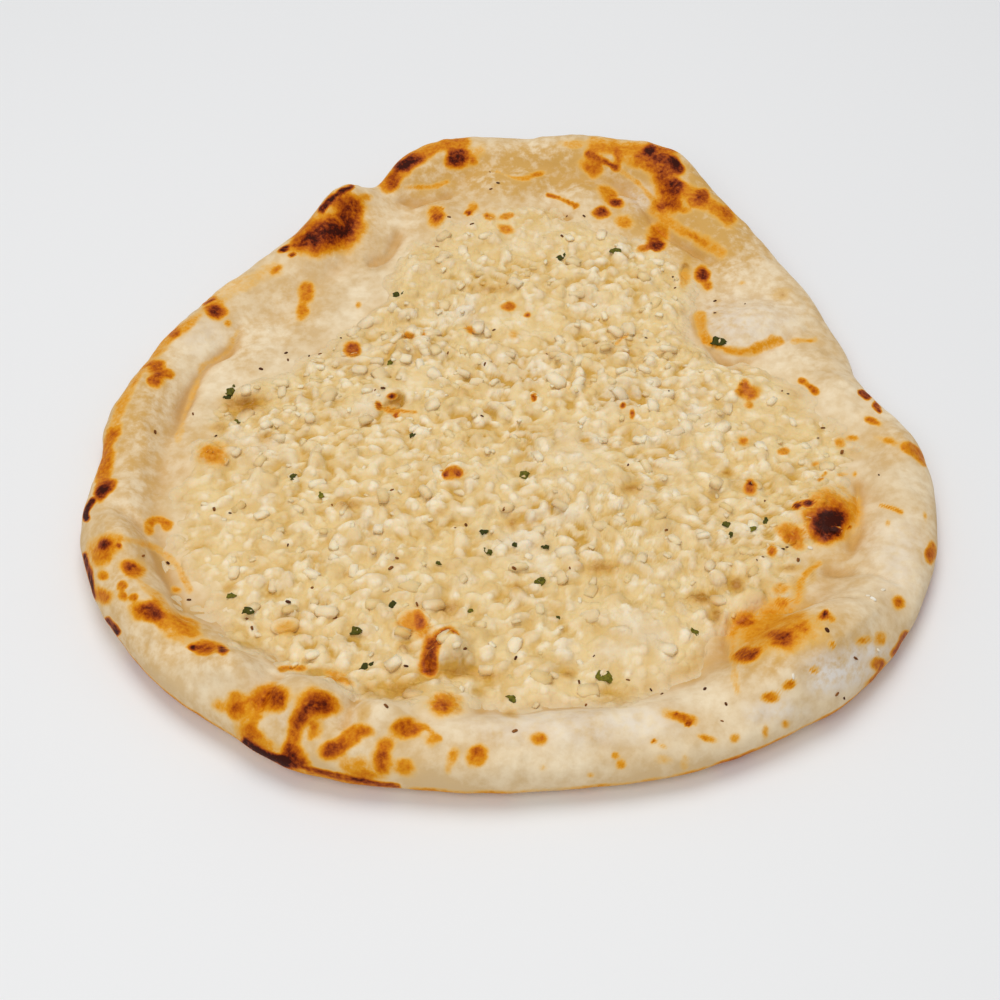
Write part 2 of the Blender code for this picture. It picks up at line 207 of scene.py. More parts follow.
# Slices of garlic: pixel, length, width, height and turn
SLICES = (
    (414, 622, 9.5, 7.6, 2.6, -8), (285, 627, 7.6, 5.8, 2.6, 20),
)
SLICE_SEGMENTS = 32
SLICE_RINGS = 18
SLICE_LEVEL = 0.12                  # its middle stands over the garlic by this share of the height
SLICE_CREAM = 0.55                  # how creamy it is, where a bit's foot has 0 and its top 1

# Height map of the plan
MAP_HALF = 160.0
MAP_CELL = 0.32
MAP_SKIP = 4                        # the marks are painted on every fourth place of it
STAMP_TAPER = 0.28                  # a dome is this much narrower at one end
STAMP_SQUARENESS = 2.5              # over 2, its outline is squarer than an ellipse

# Scorch marks: pixel, half width and half height as the camera sees them, turn and strength
SCORCHES = (
    (575, 144, 4.3, 1.4, 0, 0.35), (478, 150, 3.5, 2.5, 0, 0.35), (649, 151, 2.4, 2, 0, 0.85),
    (617, 155, 1.8, 4, 0, 0.6), (459, 158, 5.4, 3.4, 0, 0.95), (413, 160, 4.3, 2.5, 20, 0.85),
    (668, 160, 6, 4, -35, 0.8), (640, 162, 5, 3, 0, 0.5), (401, 165, 2.9, 2.5, 0, 0.95),
    (677, 165, 3.4, 1.9, -55, 0.88), (594, 168, 4.6, 3, -20, 0.62), (537, 174, 2.5, 1.4, 0, 0.55),
    (660, 180, 4.2, 4, 0, 0.62), (395, 182, 2.9, 2.9, 0, 0.65), (675, 187, 3, 3, 0, 0.8),
    (608, 195, 3.4, 4, 20, 0.55), (702, 195, 2.6, 2, 20, 0.76), (366, 197, 2.6, 2, 0, 0.45),
    (616, 202, 2.4, 2, 0, 0.9), (696, 202, 3.4, 1.6, 0, 0.5), (345, 203, 6.6, 4, -15, 0.72),
    (661, 206, 1.2, 1.6, 0, 0.74), (670, 205, 4.6, 4.6, 0, 0.57), (474, 207, 2.1, 2.1, 0, 0.55),
    (443, 208, 0.9, 0.9, 0, 0.6), (683, 211, 2.5, 1.5, 0, 0.5), (601, 212, 2.8, 2, 0, 0.9),
    (469, 213, 1.4, 1.1, 0, 0.85), (728, 214, 3.6, 2.4, -45, 0.5), (436, 216, 2.9, 3.4, 0, 0.75),
    (487, 216, 2.5, 1.8, 0, 0.55), (352, 217, 4, 6.5, 0, 0.7), (507, 217, 2.5, 1.4, 0, 0.55),
    (341, 222, 5, 4.5, 0, 0.72), (625, 222, 3.4, 2.4, 0, 0.5), (505, 229, 2.9, 1.8, 0, 0.6),
    (340, 233, 8, 3.8, 5, 0.88), (659, 235, 4, 4.2, 0, 0.56), (327, 235, 12, 6.8, 12, 0.8),
    (303, 241, 5.4, 3.2, 20, 0.86), (656, 243, 2.6, 2.2, 0, 0.86), (285, 248, 1.8, 1.1, 30, 1.05),
    (643, 249, 2.4, 1.2, 10, 0.55), (292, 255, 1.1, 0.8, 0, 1), (278, 268, 3.6, 1.4, 35, 0.5),
    (702, 273, 2.6, 2.6, 0, 0.95), (684, 277, 2.6, 3.2, 0, 0.4), (742, 283, 2, 1.3, 0, 0.35),
    (708, 286, 2.3, 2, 0, 0.6), (307, 291, 2.4, 3.4, 0, 0.62), (206, 302, 3.2, 1, 30, 1),
    (358, 305, 1.3, 1.3, 0, 0.5), (509, 306, 2.6, 1.3, 0, 0.6), (302, 311, 1.9, 2.6, 0, 0.55),
    (215, 312, 3.9, 2.9, -20, 0.85), (528, 315, 1.3, 1, 0, 0.8), (228, 323, 1.6, 1.6, 0, 0.6),
    (470, 331, 1.6, 1.3, 0, 0.5), (175, 333, 2, 1.8, 0, 0.6), (424, 334, 1.6, 1.3, 0, 0.5),
    (409, 335, 2.2, 1.3, 0, 0.5), (514, 335, 1.9, 1.9, 0, 0.35), (809, 341, 2.5, 1, 0, 0.45),
    (353, 350, 2.5, 3, 0, 0.75), (156, 369, 3, 2.4, 0, 0.7), (169, 373, 1.5, 1.5, 0, 0.6),
    (730, 376, 0.9, 0.9, 0, 0.5), (155, 380, 2.4, 2.4, 0, 0.75), (744, 387, 2.2, 2.8, 0, 0.7),
    (751, 393, 3, 2.5, 0, 0.6), (391, 396, 1.2, 0.9, 0, 0.95), (534, 398, 0.9, 1.5, 0, 0.8),
    (378, 405, 0.9, 1.2, 0, 0.8), (623, 405, 1, 1, 0, 0.8), (749, 405, 1.5, 1.2, 0, 0.5),
    (632, 413, 0.9, 1.8, 0, 0.7), (396, 416, 0.8, 0.8, 0, 0.8), (875, 422, 2.4, 1.2, -20, 0.75),
    (852, 438, 1.8, 0.9, 0, 0.5), (744, 441, 2.1, 1.5, 0, 0.6), (890, 442, 3.6, 1.5, -15, 0.5),
    (838, 443, 1.8, 1.5, 0, 0.5), (783, 452, 1.5, 1, 0, 0.5), (214, 456, 5.4, 4, -10, 0.48),
    (815, 464, 1.4, 0.8, 20, 0.42), (445, 474, 0.8, 0.8, 0, 0.85), (452, 474, 3, 1.8, 0, 0.6),
    (459, 474, 0.8, 0.8, 0, 0.85), (841, 474, 2, 0.8, 0, 0.42), (855, 474, 0.9, 1.2, 0, 0.44),
    (751, 484, 1.5, 1, 0, 0.97), (108, 487, 3, 1.8, 30, 0.75), (750, 488, 2.3, 2.2, 0, 0.8),
    (100, 492, 2.3, 2.3, 0, 1), (809, 503, 1.7, 0.8, 0, 1.02), (797, 506, 0.5, 0.4, 0, 0.95),
    (832, 515, 7.4, 6.9, 0, 0.62), (925, 515, 0.9, 1.9, 15, 0.42), (829, 522, 4.9, 4.4, 0, 1.08),
    (888, 522, 1.2, 1.4, 0, 0.45), (849, 527, 0.8, 0.8, 0, 0.8), (790, 538, 2.6, 1.9, -20, 0.6),
    (105, 545, 2, 1.5, 0, 0.85), (119, 546, 0.9, 0.9, 0, 0.8), (104, 549, 5, 3.8, 30, 0.58),
    (772, 549, 1.6, 2.3, 0, 0.58), (931, 553, 1.4, 2.4, -15, 0.62), (130, 568, 4.2, 2.3, -20, 0.75),
    (105, 577, 1.6, 1.4, 0, 0.6), (122, 585, 1.4, 1.2, 0, 0.6), (782, 589, 2.1, 1.6, 0, 0.42),
    (175, 590, 1.7, 1.1, 0, 0.5), (100, 595, 2.8, 2.8, 0, 0.6), (124, 596, 1.2, 1.2, 0, 0.6),
    (133, 597, 1.2, 1, 0, 0.6), (784, 602, 1.6, 1.1, 0, 0.55), (899, 602, 2.2, 2, -50, 0.7),
    (150, 612, 4.1, 2.8, -15, 0.92), (825, 613, 0.8, 0.7, 0, 1), (824, 616, 2, 1.2, 0, 0.8),
    (748, 619, 3, 2, 20, 0.62), (420, 620, 1.4, 2.4, 0, 0.6), (832, 620, 1.2, 1, 0, 0.5),
    (414, 622, 4.8, 3.6, 0, 0.47), (773, 628, 12.5, 6.4, 8, 0.46), (795, 616, 5, 2.6, 0, 0.4),
    (285, 627, 3.8, 2.8, 0, 0.33), (802, 627, 1.6, 1.1, 0, 0.52), (178, 636, 5, 2.2, -25, 0.42),
    (880, 638, 1.6, 2.2, 0, 0.45), (782, 638, 3.8, 1.9, 0, 0.75), (862, 641, 2.2, 1.4, 20, 0.6),
    (833, 645, 1.1, 1, 0, 0.5), (205, 647, 4.6, 1.8, 0, 0.75), (192, 648, 1, 0.9, 0, 0.95),
    (222, 649, 1.6, 1.3, -30, 0.92), (748, 654, 3, 1.7, 15, 0.74), (878, 664, 2.2, 1.6, 0, 0.7),
    (438, 666, 1.5, 1, 0, 0.8), (292, 668, 3.6, 1, 0, 0.42), (813, 670, 1.3, 0.9, -15, 0.52),
    (337, 676, 4.2, 1.8, -20, 0.45), (874, 681, 2.2, 1.3, 40, 1.08), (791, 684, 2, 1.3, 10, 0.7),
    (272, 696, 4.6, 3, 10, 0.63), (770, 697, 1.8, 1.3, 0, 0.6), (237, 699, 2.8, 2.4, 0, 0.55),
    (278, 700, 2.4, 2.6, 0, 0.66), (318, 703, 5.2, 3.2, -5, 0.7), (443, 704, 5.4, 3.4, -5, 0.55),
    (220, 705, 2.6, 2, 0, 0.4), (316, 706, 3, 1.8, 0, 0.66), (441, 706, 3, 2, 0, 0.62),
    (258, 708, 3.6, 2.4, 30, 0.42), (236, 711, 2, 2, 0, 0.62), (676, 714, 1.1, 0.9, 0, 0.8),
    (307, 716, 3, 2.4, 40, 0.58), (680, 717, 4.4, 1.7, -14, 0.6), (246, 722, 3, 3, 0, 0.35),
    (404, 722, 3.6, 1, 25, 0.5), (688, 724, 0.7, 0.8, 0, 0.9), (785, 724, 1.1, 1.1, 0, 0.42),
    (406, 728, 4.8, 2.6, 25, 0.74), (316, 730, 2.2, 3, 10, 0.42), (366, 731, 3.2, 1.8, -10, 0.62),
    (766, 732, 0.8, 2, 0, 0.44), (250, 733, 3, 2.2, 0, 0.45), (705, 738, 2.9, 1, -12, 0.5),
    (654, 741, 1, 0.8, 0, 0.95), (663, 746, 2.2, 1, -20, 0.42), (736, 738, 1.3, 1.3, 0, 0.42),
    (432, 739, 2.4, 2, 0, 0.4), (541, 739, 2.2, 1.7, 0, 0.58), (262, 742, 5, 2.2, -25, 0.5),
    (386, 744, 2.8, 2.2, 0, 0.58), (329, 750, 3.2, 2.4, 20, 0.74), (474, 750, 1.6, 1.4, 0, 0.6),
    (289, 752, 2, 3.2, 10, 0.78), (615, 755, 0.6, 0.5, 0, 0.5), (453, 757, 1.6, 2.4, -20, 0.5),
    (476, 757, 2.8, 2.4, 20, 0.56), (664, 759, 2.4, 1.6, 0, 0.28), (685, 760, 1.2, 2.4, 0, 0.28),
    (301, 761, 3, 1.4, -25, 0.8), (382, 762, 2.6, 4.2, 0, 0.72), (621, 765, 1.2, 1.2, 0, 0.45),
    (405, 766, 3.2, 2.6, 0, 0.48), (543, 767, 1.8, 1.5, 0, 0.3), (358, 768, 5, 3, -15, 0.42),
    (448, 768, 1.2, 1.8, 0, 0.32), (591, 775, 1.2, 0.9, 0, 0.36), (366, 776, 4, 1.8, -10, 0.5),
)

# Scorched lines, and one line of painted crease shade: half width, strength, then the pixels that each runs
# through
SCORCHED_AND_SHADED_LINES = (
    (1.0, 1.02, ((322, 210), (330, 200), (340, 191), (352, 187))),
    (3.0, 0.28, ((278, 268), (245, 282), (215, 296))),
    (3.0, 0.55, ((388, 185), (400, 172), (415, 160), (430, 150), (450, 143), (462, 142))),
    (0.9, 0.42, ((395, 187), (430, 188), (447, 182))),
    (0.9, 0.4, ((497, 172), (520, 180), (540, 174))),
    (1.0, 0.65, ((548, 195), (560, 198), (575, 205))),
    (1.7, 0.76, ((590, 155), (600, 159), (614, 167))),
    (1.1, 0.36, ((614, 167), (632, 178), (648, 192), (658, 208))),
    (3.2, 0.52, ((594, 147), (620, 147), (650, 149), (672, 160))),
    (4.8, 0.64, ((650, 156), (666, 176), (670, 202))),
    (3.0, 0.5, ((674, 186), (702, 200), (728, 218))),
    (2.6, 0.4, ((655, 210), (668, 222), (688, 234), (706, 244), (718, 252))),
    (1.0, 0.5, ((690, 235), (698, 239), (706, 244))),
    (1.7, 0.38, ((700, 316), (702, 332), (712, 344), (735, 353), (758, 350), (778, 341))),
    (1.2, 0.3, ((795, 341), (815, 339))),
    (2.0, 0.4, ((200, 315), (175, 333), (150, 355), (138, 372), (125, 395), (112, 435))),
    (2.4, 0.58, ((112, 435), (104, 463), (102, 485))),
    # This one is painted shade along the crease of the left rim, not a scorch
    (1.2, 0.28, ((237, 332), (228, 350), (215, 360), (200, 366), (197, 385), (190, 400), (182, 425),
                 (178, 440))),
    (0.8, 0.5, ((388, 410), (400, 411), (415, 412))),
    (0.7, 0.4, ((617, 343), (627, 335))),
    (1.2, 0.36, ((705, 340), (722, 347), (735, 355), (760, 345), (772, 338))),
    (1.2, 0.62, ((800, 381), (808, 385), (815, 391))),
    (1.6, 0.58, ((905, 447), (915, 452), (925, 462))),
    (0.6, 0.85, ((862, 392), (868, 397))),
    (0.6, 0.85, ((875, 405), (880, 412))),
    (0.9, 1.06, ((92, 500), (84, 512), (86, 518))),
    (1.5, 0.56, ((149, 530), (151, 522), (158, 518), (165, 521), (167, 526))),
    (0.8, 1.0, ((84, 555), (88, 568), (90, 583), (94, 597))),
    (2.8, 0.52, ((150, 612), (170, 622), (190, 632))),
    (1.2, 0.33, ((120, 538), (150, 545), (175, 560), (190, 590))),
    (1.2, 0.33, ((140, 582), (160, 600), (175, 615), (190, 630))),
    (0.8, 1.0, ((107, 620), (117, 632))),
    (0.6, 0.45, ((246, 701), (262, 701))),
    (1.4, 0.45, ((258, 717), (250, 728), (247, 737))),
    (2.2, 0.68, ((303, 714), (298, 724), (292, 737), (290, 747), (300, 757))),
    (1.2, 0.5, ((313, 726), (311, 738))),
    (2.0, 0.6, ((329, 749), (345, 744), (354, 736), (369, 730))),
    (1.0, 0.4, ((418, 722), (432, 731), (440, 738))),
    (2.1, 0.85, ((449, 636), (440, 640), (433, 650), (428, 660), (430, 666))),
    (0.5, 0.5, ((281, 669), (293, 667), (303, 668))),
    (1.2, 0.75, ((906, 634), (901, 645), (895, 654))),
    (1.0, 0.55, ((881, 505), (892, 508), (901, 512))),
    (0.8, 0.5, ((819, 480), (826, 473))),
    (1.9, 0.5, ((780, 531), (788, 528), (796, 533), (797, 544))),
    (1.3, 1.1, ((246, 744), (262, 755), (283, 761))),
    (1.0, 0.3, ((738, 615), (732, 640), (733, 665), (737, 692))),
    (1.0, 0.4, ((820, 564), (806, 572), (800, 586), (797, 601))),
    (0.8, 0.85, ((283, 762), (320, 772), (350, 779), (397, 787))),
)

# Pools of oil and butter: pixel, half width and half height as the camera sees them, strength
OIL_POOLS = (
    (243, 404, 5.2, 2.6, 1.0), (219, 428, 2.2, 1.4, 0.7), (265, 438, 2.4, 1.4, 0.6),
    (396, 402, 2.8, 2.4, 0.9), (493, 289, 5.5, 1.6, 0.7), (348, 504, 3.0, 1.3, 0.7),
    (288, 630, 3.0, 1.4, 1.0), (632, 488, 3.4, 1.5, 0.9), (600, 568, 4.6, 1.8, 0.8),
    (512, 525, 1.6, 2.2, 0.8), (440, 512, 2.0, 1.2, 0.6), (448, 608, 3.0, 2.0, 0.8),
    (517, 588, 2.0, 1.5, 0.7), (590, 445, 2.6, 1.5, 0.5), (463, 390, 2.0, 1.3, 0.5),
    (400, 690, 5.0, 2.2, 0.75), (702, 598, 3.6, 1.3, 1.0), (736, 584, 2.2, 1.8, 1.0),
    (798, 587, 1.6, 2.4, 0.7), (363, 712, 1.4, 2.6, 0.5), (700, 239, 3.5, 0.9, 0.6),
    (685, 270, 1.6, 4.0, 1.0), (783, 295, 2.4, 1.6, 0.8), (700, 324, 2.0, 3.2, 0.7),
    (735, 352, 5.5, 1.3, 0.8), (450, 672, 5.5, 1.4, 0.9), (490, 676, 4.0, 1.2, 0.8),
    (404, 647, 1.8, 1.4, 0.7), (716, 614, 1.5, 2.2, 0.8), (569, 673, 1.8, 1.0, 0.8),
    (511, 713, 1.8, 1.0, 0.8), (370, 690, 2.0, 2.2, 0.7), (230, 588, 2.0, 1.2, 0.6),
    (316, 560, 1.6, 1.6, 0.5), (725, 473, 1.6, 0.8, 0.9), (765, 600, 1.0, 1.6, 0.4),
    (790, 568, 2.4, 0.7, 0.7), (812, 570, 1.0, 2.6, 0.8), (800, 592, 0.9, 3.0, 0.7),
)

# Places where the butter has run together over the garlic, as above
SMOOTH_PLACES = (
    (400, 285, 16, 12, 0.9), (460, 235, 22, 10, 0.9), (560, 228, 22, 9, 0.8), (520, 322, 14, 8, 0.9),
    (640, 300, 16, 10, 0.6), (770, 400, 16, 13, 0.7), (230, 490, 12, 16, 0.6), (492, 475, 7, 7, 0.8),
    (588, 468, 11, 6, 0.9), (546, 560, 4, 6, 0.9), (700, 480, 16, 10, 0.5), (640, 600, 22, 9, 0.8),
    (660, 655, 20, 9, 0.9), (480, 575, 6, 4, 0.6), (790, 450, 14, 10, 0.6), (350, 470, 10, 7, 0.5),
    (420, 395, 10, 6, 0.4),
)

# Herb flakes: pixel, length and turn
HERBS = (
    (231, 390, 4.0, 70), (227, 397, 2.4, 10), (239, 422, 3.0, 40), (398, 294, 3.4, 10), (391, 362, 2.6, 60),
    (413, 435, 2.0, 20), (293, 477, 3.0, 80), (321, 495, 2.4, 110), (615, 251, 4.2, 20),
    (719, 342, 4.8, -20), (561, 257, 3.6, 30), (525, 474, 4.0, 70), (484, 532, 2.8, 40),
    (489, 552, 3.4, -15), (516, 545, 2.0, -40), (545, 547, 2.2, 0), (540, 582, 3.6, 45), (559, 618, 1.8, 0),
    (607, 678, 5.2, -15), (512, 699, 3.0, -60), (470, 611, 1.8, 30), (439, 563, 1.6, -30),
    (392, 605, 2.6, 65), (357, 631, 3.4, -20), (366, 666, 3.8, 15), (232, 596, 2.4, 0),
    (249, 611, 3.2, -15), (695, 632, 2.6, -40), (728, 525, 3.0, -50), (731, 535, 2.0, 80),
    (753, 529, 2.2, 20), (766, 521, 2.6, 80),
)
HERB_SHAPES = 7
HERB_THICKNESS = 0.06   # share of the length
HERB_RISE = 0.25        # how far a flake's middle stands over the garlic

# Golden regions of the dough: pixel, half width and half height as the camera sees them, strength
GOLDEN = (
    (135, 400, 13, 30, 0.7), (120, 560, 10, 20, 0.55), (200, 640, 22, 8, 0.6), (290, 720, 26, 8, 0.5),
    (540, 170, 42, 9, 1.1), (425, 185, 14, 10, 0.7), (330, 225, 16, 12, 0.8), (690, 210, 26, 22, 1.15),
    (640, 240, 14, 10, 0.7), (720, 250, 12, 10, 0.5), (780, 300, 16, 12, 0.35), (710, 320, 12, 12, 0.5),
    (770, 635, 18, 10, 0.9), (830, 530, 12, 14, 0.6), (900, 440, 14, 8, 0.45), (240, 340, 8, 14, 0.4),
    (300, 300, 10, 12, 0.4), (490, 215, 18, 8, 0.5), (850, 640, 10, 8, 0.4), (440, 750, 30, 6, 0.3),
    (215, 450, 12, 10, 0.5), (930, 530, 6, 20, 0.3), (420, 240, 14, 8, 0.3), (560, 215, 20, 6, 0.4),
    (275, 315, 16, 14, 0.3), (820, 345, 14, 16, 0.25), (770, 270, 12, 20, 0.25), (150, 470, 12, 16, 0.35),
)
GOLDEN_SOFTNESS = 0.9

# Big soft bits of garlic: pixel, length, width and turn
BIG_BITS = (
    (281, 616, 6.5, 5.0, 20), (383, 678, 6.5, 5.5, 70), (408, 672, 6.5, 4.6, 110), (398, 640, 6.0, 4.5, 10),
    (707, 572, 9.5, 7.0, 10), (699, 611, 8.5, 6.5, 30), (713, 629, 8.0, 6.0, 0), (640, 655, 8.0, 5.0, 15),
    (228, 575, 6.0, 4.6, 0), (345, 640, 6.0, 4.0, 40), (462, 640, 5.5, 4.2, 60), (560, 620, 6.5, 4.0, 20),
    (412, 622, 8.0, 6.5, 0), (255, 655, 5.5, 4.0, 40), (520, 600, 5.5, 4.0, 120), (372, 625, 5.0, 4.0, 0),
)
BIG_RISE = 0.36         # share of the width
BIG_SINK = 0.4          # how deep a bit's foot is in the layer
BIG_POWER = 0.6
BIG_TONE = 0.2

# Floury smears: pixel, half width and half height as the camera sees them, strength
FLOUR = (
    (842, 669, 9, 3.6, 1.0), (866, 652, 6, 2, 1.0), (774, 711, 6, 2.6, 0.6), (828, 680, 6, 3, 0.9),
    (900, 560, 6, 10, 0.35), (560, 724, 20, 5, 0.4), (640, 722, 10, 4, 0.5), (735, 325, 16, 7, 0.5),
    (640, 196, 7, 4, 0.6), (300, 715, 6, 3, 0.4), (200, 330, 8, 6, 0.3),
)

# Dark specks: the pixels that show them
SPECKS = (
    (286, 353), (288, 360), (261, 369), (309, 356), (320, 354), (341, 338), (193, 414), (155, 432),
    (216, 436), (494, 330), (485, 364), (448, 353), (547, 354), (383, 388), (375, 390), (482, 416),
    (472, 224), (449, 217), (567, 216), (584, 216), (562, 236), (437, 247), (715, 301), (745, 304),
    (715, 313), (782, 391), (788, 394), (823, 428), (818, 438), (842, 452), (669, 391), (143, 556),
    (168, 563), (189, 600), (214, 509), (230, 513), (288, 545), (332, 505), (312, 588), (288, 602),
    (335, 618), (247, 619), (252, 628), (455, 528), (466, 525), (392, 490), (504, 509), (570, 568),
    (514, 568), (397, 558), (391, 568), (417, 604), (628, 465), (787, 547), (783, 549), (763, 557),
    (757, 560), (798, 560), (855, 658), (827, 630), (594, 656), (628, 680), (651, 690), (662, 694),
    (705, 689), (579, 682), (586, 705), (465, 649), (666, 530), (646, 338), (490, 172), (498, 183),
    (491, 189), (673, 277), (675, 288), (515, 731), (516, 658), (837, 694), (844, 698), (386, 706),
    (406, 666), (726, 704), (722, 721), (765, 501), (879, 475),
)
SPECK_LENGTH = (0.6, 1.3)
SPECK_SHAPES = 4
SPECK_ROUNDNESS = (0.85,)
SPECK_UNEVEN = 0.16
SPECK_WIDTH = (0.35, 0.7)           # shares of the length
SPECK_HEIGHT = 0.3
SPECK_RISE = 0.08                   # how far a speck's middle stands over the bread
CRUMBS = ((810, 548), (883, 590), (873, 599), (793, 676), (868, 596), (878, 650))
CRUMB_LENGTH = (1.0, 1.6)

# What lies low is painted golden and darker: partly butter and baked colour, partly painted shade
NEAR_SPREAD = 2.0       # what lies lower than its mean over this distance is a deep gap
WIDE_SPREAD = 6.0       # and over this distance, a fold
FINEST_MARK = 0.85      # a narrower mark would fall between the vertices
MARK_SOFTNESS = 0.7     # how soft a mark's border is
BLUSH_SOFTNESS = 2.2    # the golden blush round a mark reaches this much further
OIL_SOFTNESS = 1.0

# Light: place, width, power and tint
WINDOW = ((-0.04, 0.38, 1.24), 0.85, 7.1, (1.0, 0.985, 0.96))
FILL = ((-0.3, -0.75, 0.9), 0.9, 4.5, (1.0, 0.98, 0.95))
SURROUNDING = (0.96, 0.975, 1.0, 1)
SURROUNDING_POWER = 0.42
FLOOR_SIDE = 4.0        # in metres


def around(table, column):
    """Smooth closed curve through one column of a table of bearings, read at bearings in radians."""
    turn = 2 * math.pi
    knots = np.radians([row[0] for row in table])
    values = np.array([row[column] for row in table], float)
    knots = np.concatenate((knots[-2:] - turn, knots, knots[:2] + turn))
    values = np.concatenate((values[-2:], values, values[:2]))
    slopes = (values[2:] - values[:-2]) / (knots[2:] - knots[:-2])

    def read(bearing):
        bearing = np.mod(bearing, turn)
        low = np.clip(np.searchsorted(knots, bearing, side="right") - 1, 1, len(knots) - 3)
        span = knots[low + 1] - knots[low]
        t = (bearing - knots[low]) / span
        leave = (t ** 3 - 2 * t ** 2 + t) * span * slopes[low - 1]
        arrive = (t ** 3 - t ** 2) * span * slopes[low]
        start = (2 * t ** 3 - 3 * t ** 2 + 1) * values[low] + leave
        end = (3 * t ** 2 - 2 * t ** 3) * values[low + 1] + arrive
        return start + end

    return read


outline = around(EDGE, 1)
rim_width = around(EDGE, 2)
rim_height = around(EDGE, 3)
garlic_reach = around(GARLIC_REACH, 1)


def smooth_step(low, high, value):
    """0 below low, 1 above high, and a soft ramp between."""
    t = np.clip((value - low) / (high - low), 0, 1)
    return t * t * (3 - 2 * t)


def rumple(x, y, size, seed):
    """Soft uneven waves from -1 to 1 with this wavelength."""
    count = int(2 * MAP_HALF / size) + 4
    lattice = np.random.default_rng(seed).uniform(-1, 1, (count, count))
    across = np.clip((x + MAP_HALF) / size, 0, count - 2.001)
    along = np.clip((y + MAP_HALF) / size, 0, count - 2.001)
    i, j = across.astype(int), along.astype(int)
    s, t = smooth_step(0, 1, across - i), smooth_step(0, 1, along - j)
    near = lattice[i, j] * (1 - s) + lattice[i + 1, j] * s
    far = lattice[i, j + 1] * (1 - s) + lattice[i + 1, j + 1] * s
    return near * (1 - t) + far * t


def from_polar(radius, bearing):
    """Places in the plan for arrays of radius and bearing."""
    return radius * np.cos(bearing), radius * np.sin(bearing)


def lift(y):
    """Rise of the sheet where the bread bows up towards its back edge."""
    return LIFT * np.clip((y - LIFT_FROM) / LIFT_RUN, 0, None) ** 2


def roll(share, height):
    """Thickness across the rim roll, from the edge at share 0 to its inner foot at share 1."""
    outer = np.clip(1 - share / CREST, 0, 1)
    inner = np.clip((share - CREST) / (1 - CREST), 0, 1)
    rise = height * (EQUATOR + (1 - EQUATOR) * np.sqrt(1 - outer ** 2))
    fall = 0.5 + 0.5 * np.cos(math.pi * inner ** FALL_POWER)
    return np.where(share < CREST, rise, MIDDLE + (height - MIDDLE) * fall)


def bubbles(x, y):
    """Height that the bubbles add."""
    total = np.zeros_like(x)
    for middle_x, middle_y, length, width, turn, height in BUBBLES:
        c, s = math.cos(math.radians(turn)), math.sin(math.radians(turn))
        u = ((x - middle_x) * c + (y - middle_y) * s) / length
        v = ((y - middle_y) * c - (x - middle_x) * s) / width
        total += height * np.clip(1 - (u * u + v * v) / BUBBLE_FOOT ** 2, 0, 1) ** BUBBLE_POWER
    return total


def along_line(x, y, points):
    """Distance from each place to a line through the points, and how far along its points that is."""
    nearest = np.full(np.shape(x), math.inf)
    along = np.zeros(np.shape(x))
    for k, ((ax, ay), (bx, by)) in enumerate(zip(points, points[1:])):
        length_squared = (bx - ax) ** 2 + (by - ay) ** 2
        t = np.clip(((x - ax) * (bx - ax) + (y - ay) * (by - ay)) / length_squared, 0, 1)
        distance = np.hypot(x - ax - t * (bx - ax), y - ay - t * (by - ay))
        along = np.where(distance < nearest, k + t, along)
        nearest = np.minimum(nearest, distance)
    return nearest, along


def rounded(points):
    """The line through the points with its corners cut twice, which rounds them."""
    points = np.array(points, float)
    for _ in range(2):
        near, far = points[:-1] * 0.75 + points[1:] * 0.25, points[:-1] * 0.25 + points[1:] * 0.75
        points = np.concatenate((points[:1], np.stack((near, far), 1).reshape(-1, 2), points[-1:]))
    return points


def creases(x, y):
    """Depth that the creases take away: a narrow groove in a soft hollow, both fading at the ends."""
    total = np.zeros(np.shape(x))
    for depth, half, points in CREASES:
        line = rounded(points)
        far, along = along_line(x, y, line)
        far, along = far / half + 0.3 * rumple(x, y, 7, CREASE_NOISE), along / (len(line) - 1)
        middle = 0.35 + 0.65 * smooth_step(0, 0.25, along) * smooth_step(1, 0.75, along)
        total += depth * middle * (0.4 * np.exp(-(far / 0.5) ** 2) + 0.4 * np.exp(-(far / 1.7) ** 2))
    return total


def top(x, y):
    """Height of the bread's upper face, without its small relief."""
    bearing = np.arctan2(y, x)
    inside = outline(bearing) - np.hypot(x, y)
    thickness = roll(np.clip(inside / rim_width(bearing), 0, 1), rim_height(bearing))
    relief = (bubbles(x, y) - creases(x, y)) * np.clip(inside / EDGE_FADE, 0, 1)
    return lift(y) + np.maximum(thickness + relief, THINNEST)


def garlic_share(x, y):
    """1 where the garlic lies, 0 on the bare rim."""
    uneven = REACH_UNEVEN * rumple(x, y, REACH_PATCH, REACH_NOISE)
    inside = garlic_reach(np.arctan2(y, x)) + uneven - np.hypot(x, y)
    return smooth_step(-GARLIC_FADE / 2, GARLIC_FADE / 2, inside)


# Height maps over the plan
MAP_LINE = np.arange(-MAP_HALF, MAP_HALF + MAP_CELL / 2, MAP_CELL)
MAP_X, MAP_Y = np.meshgrid(MAP_LINE, MAP_LINE, indexing="ij")


def read_map(heights, x, y):
    """Value of a map at each place."""
    last = len(heights) - 1
    i = np.clip((x + MAP_HALF) / (2 * MAP_HALF) * last, 0, last - 0.001)
    j = np.clip((y + MAP_HALF) / (2 * MAP_HALF) * last, 0, last - 0.001)
    a, b = np.floor(i).astype(int), np.floor(j).astype(int)
    s, t = i - a, j - b
    near = heights[a, b] * (1 - s) + heights[a + 1, b] * s
    far = heights[a, b + 1] * (1 - s) + heights[a + 1, b + 1] * s
    return near * (1 - t) + far * t


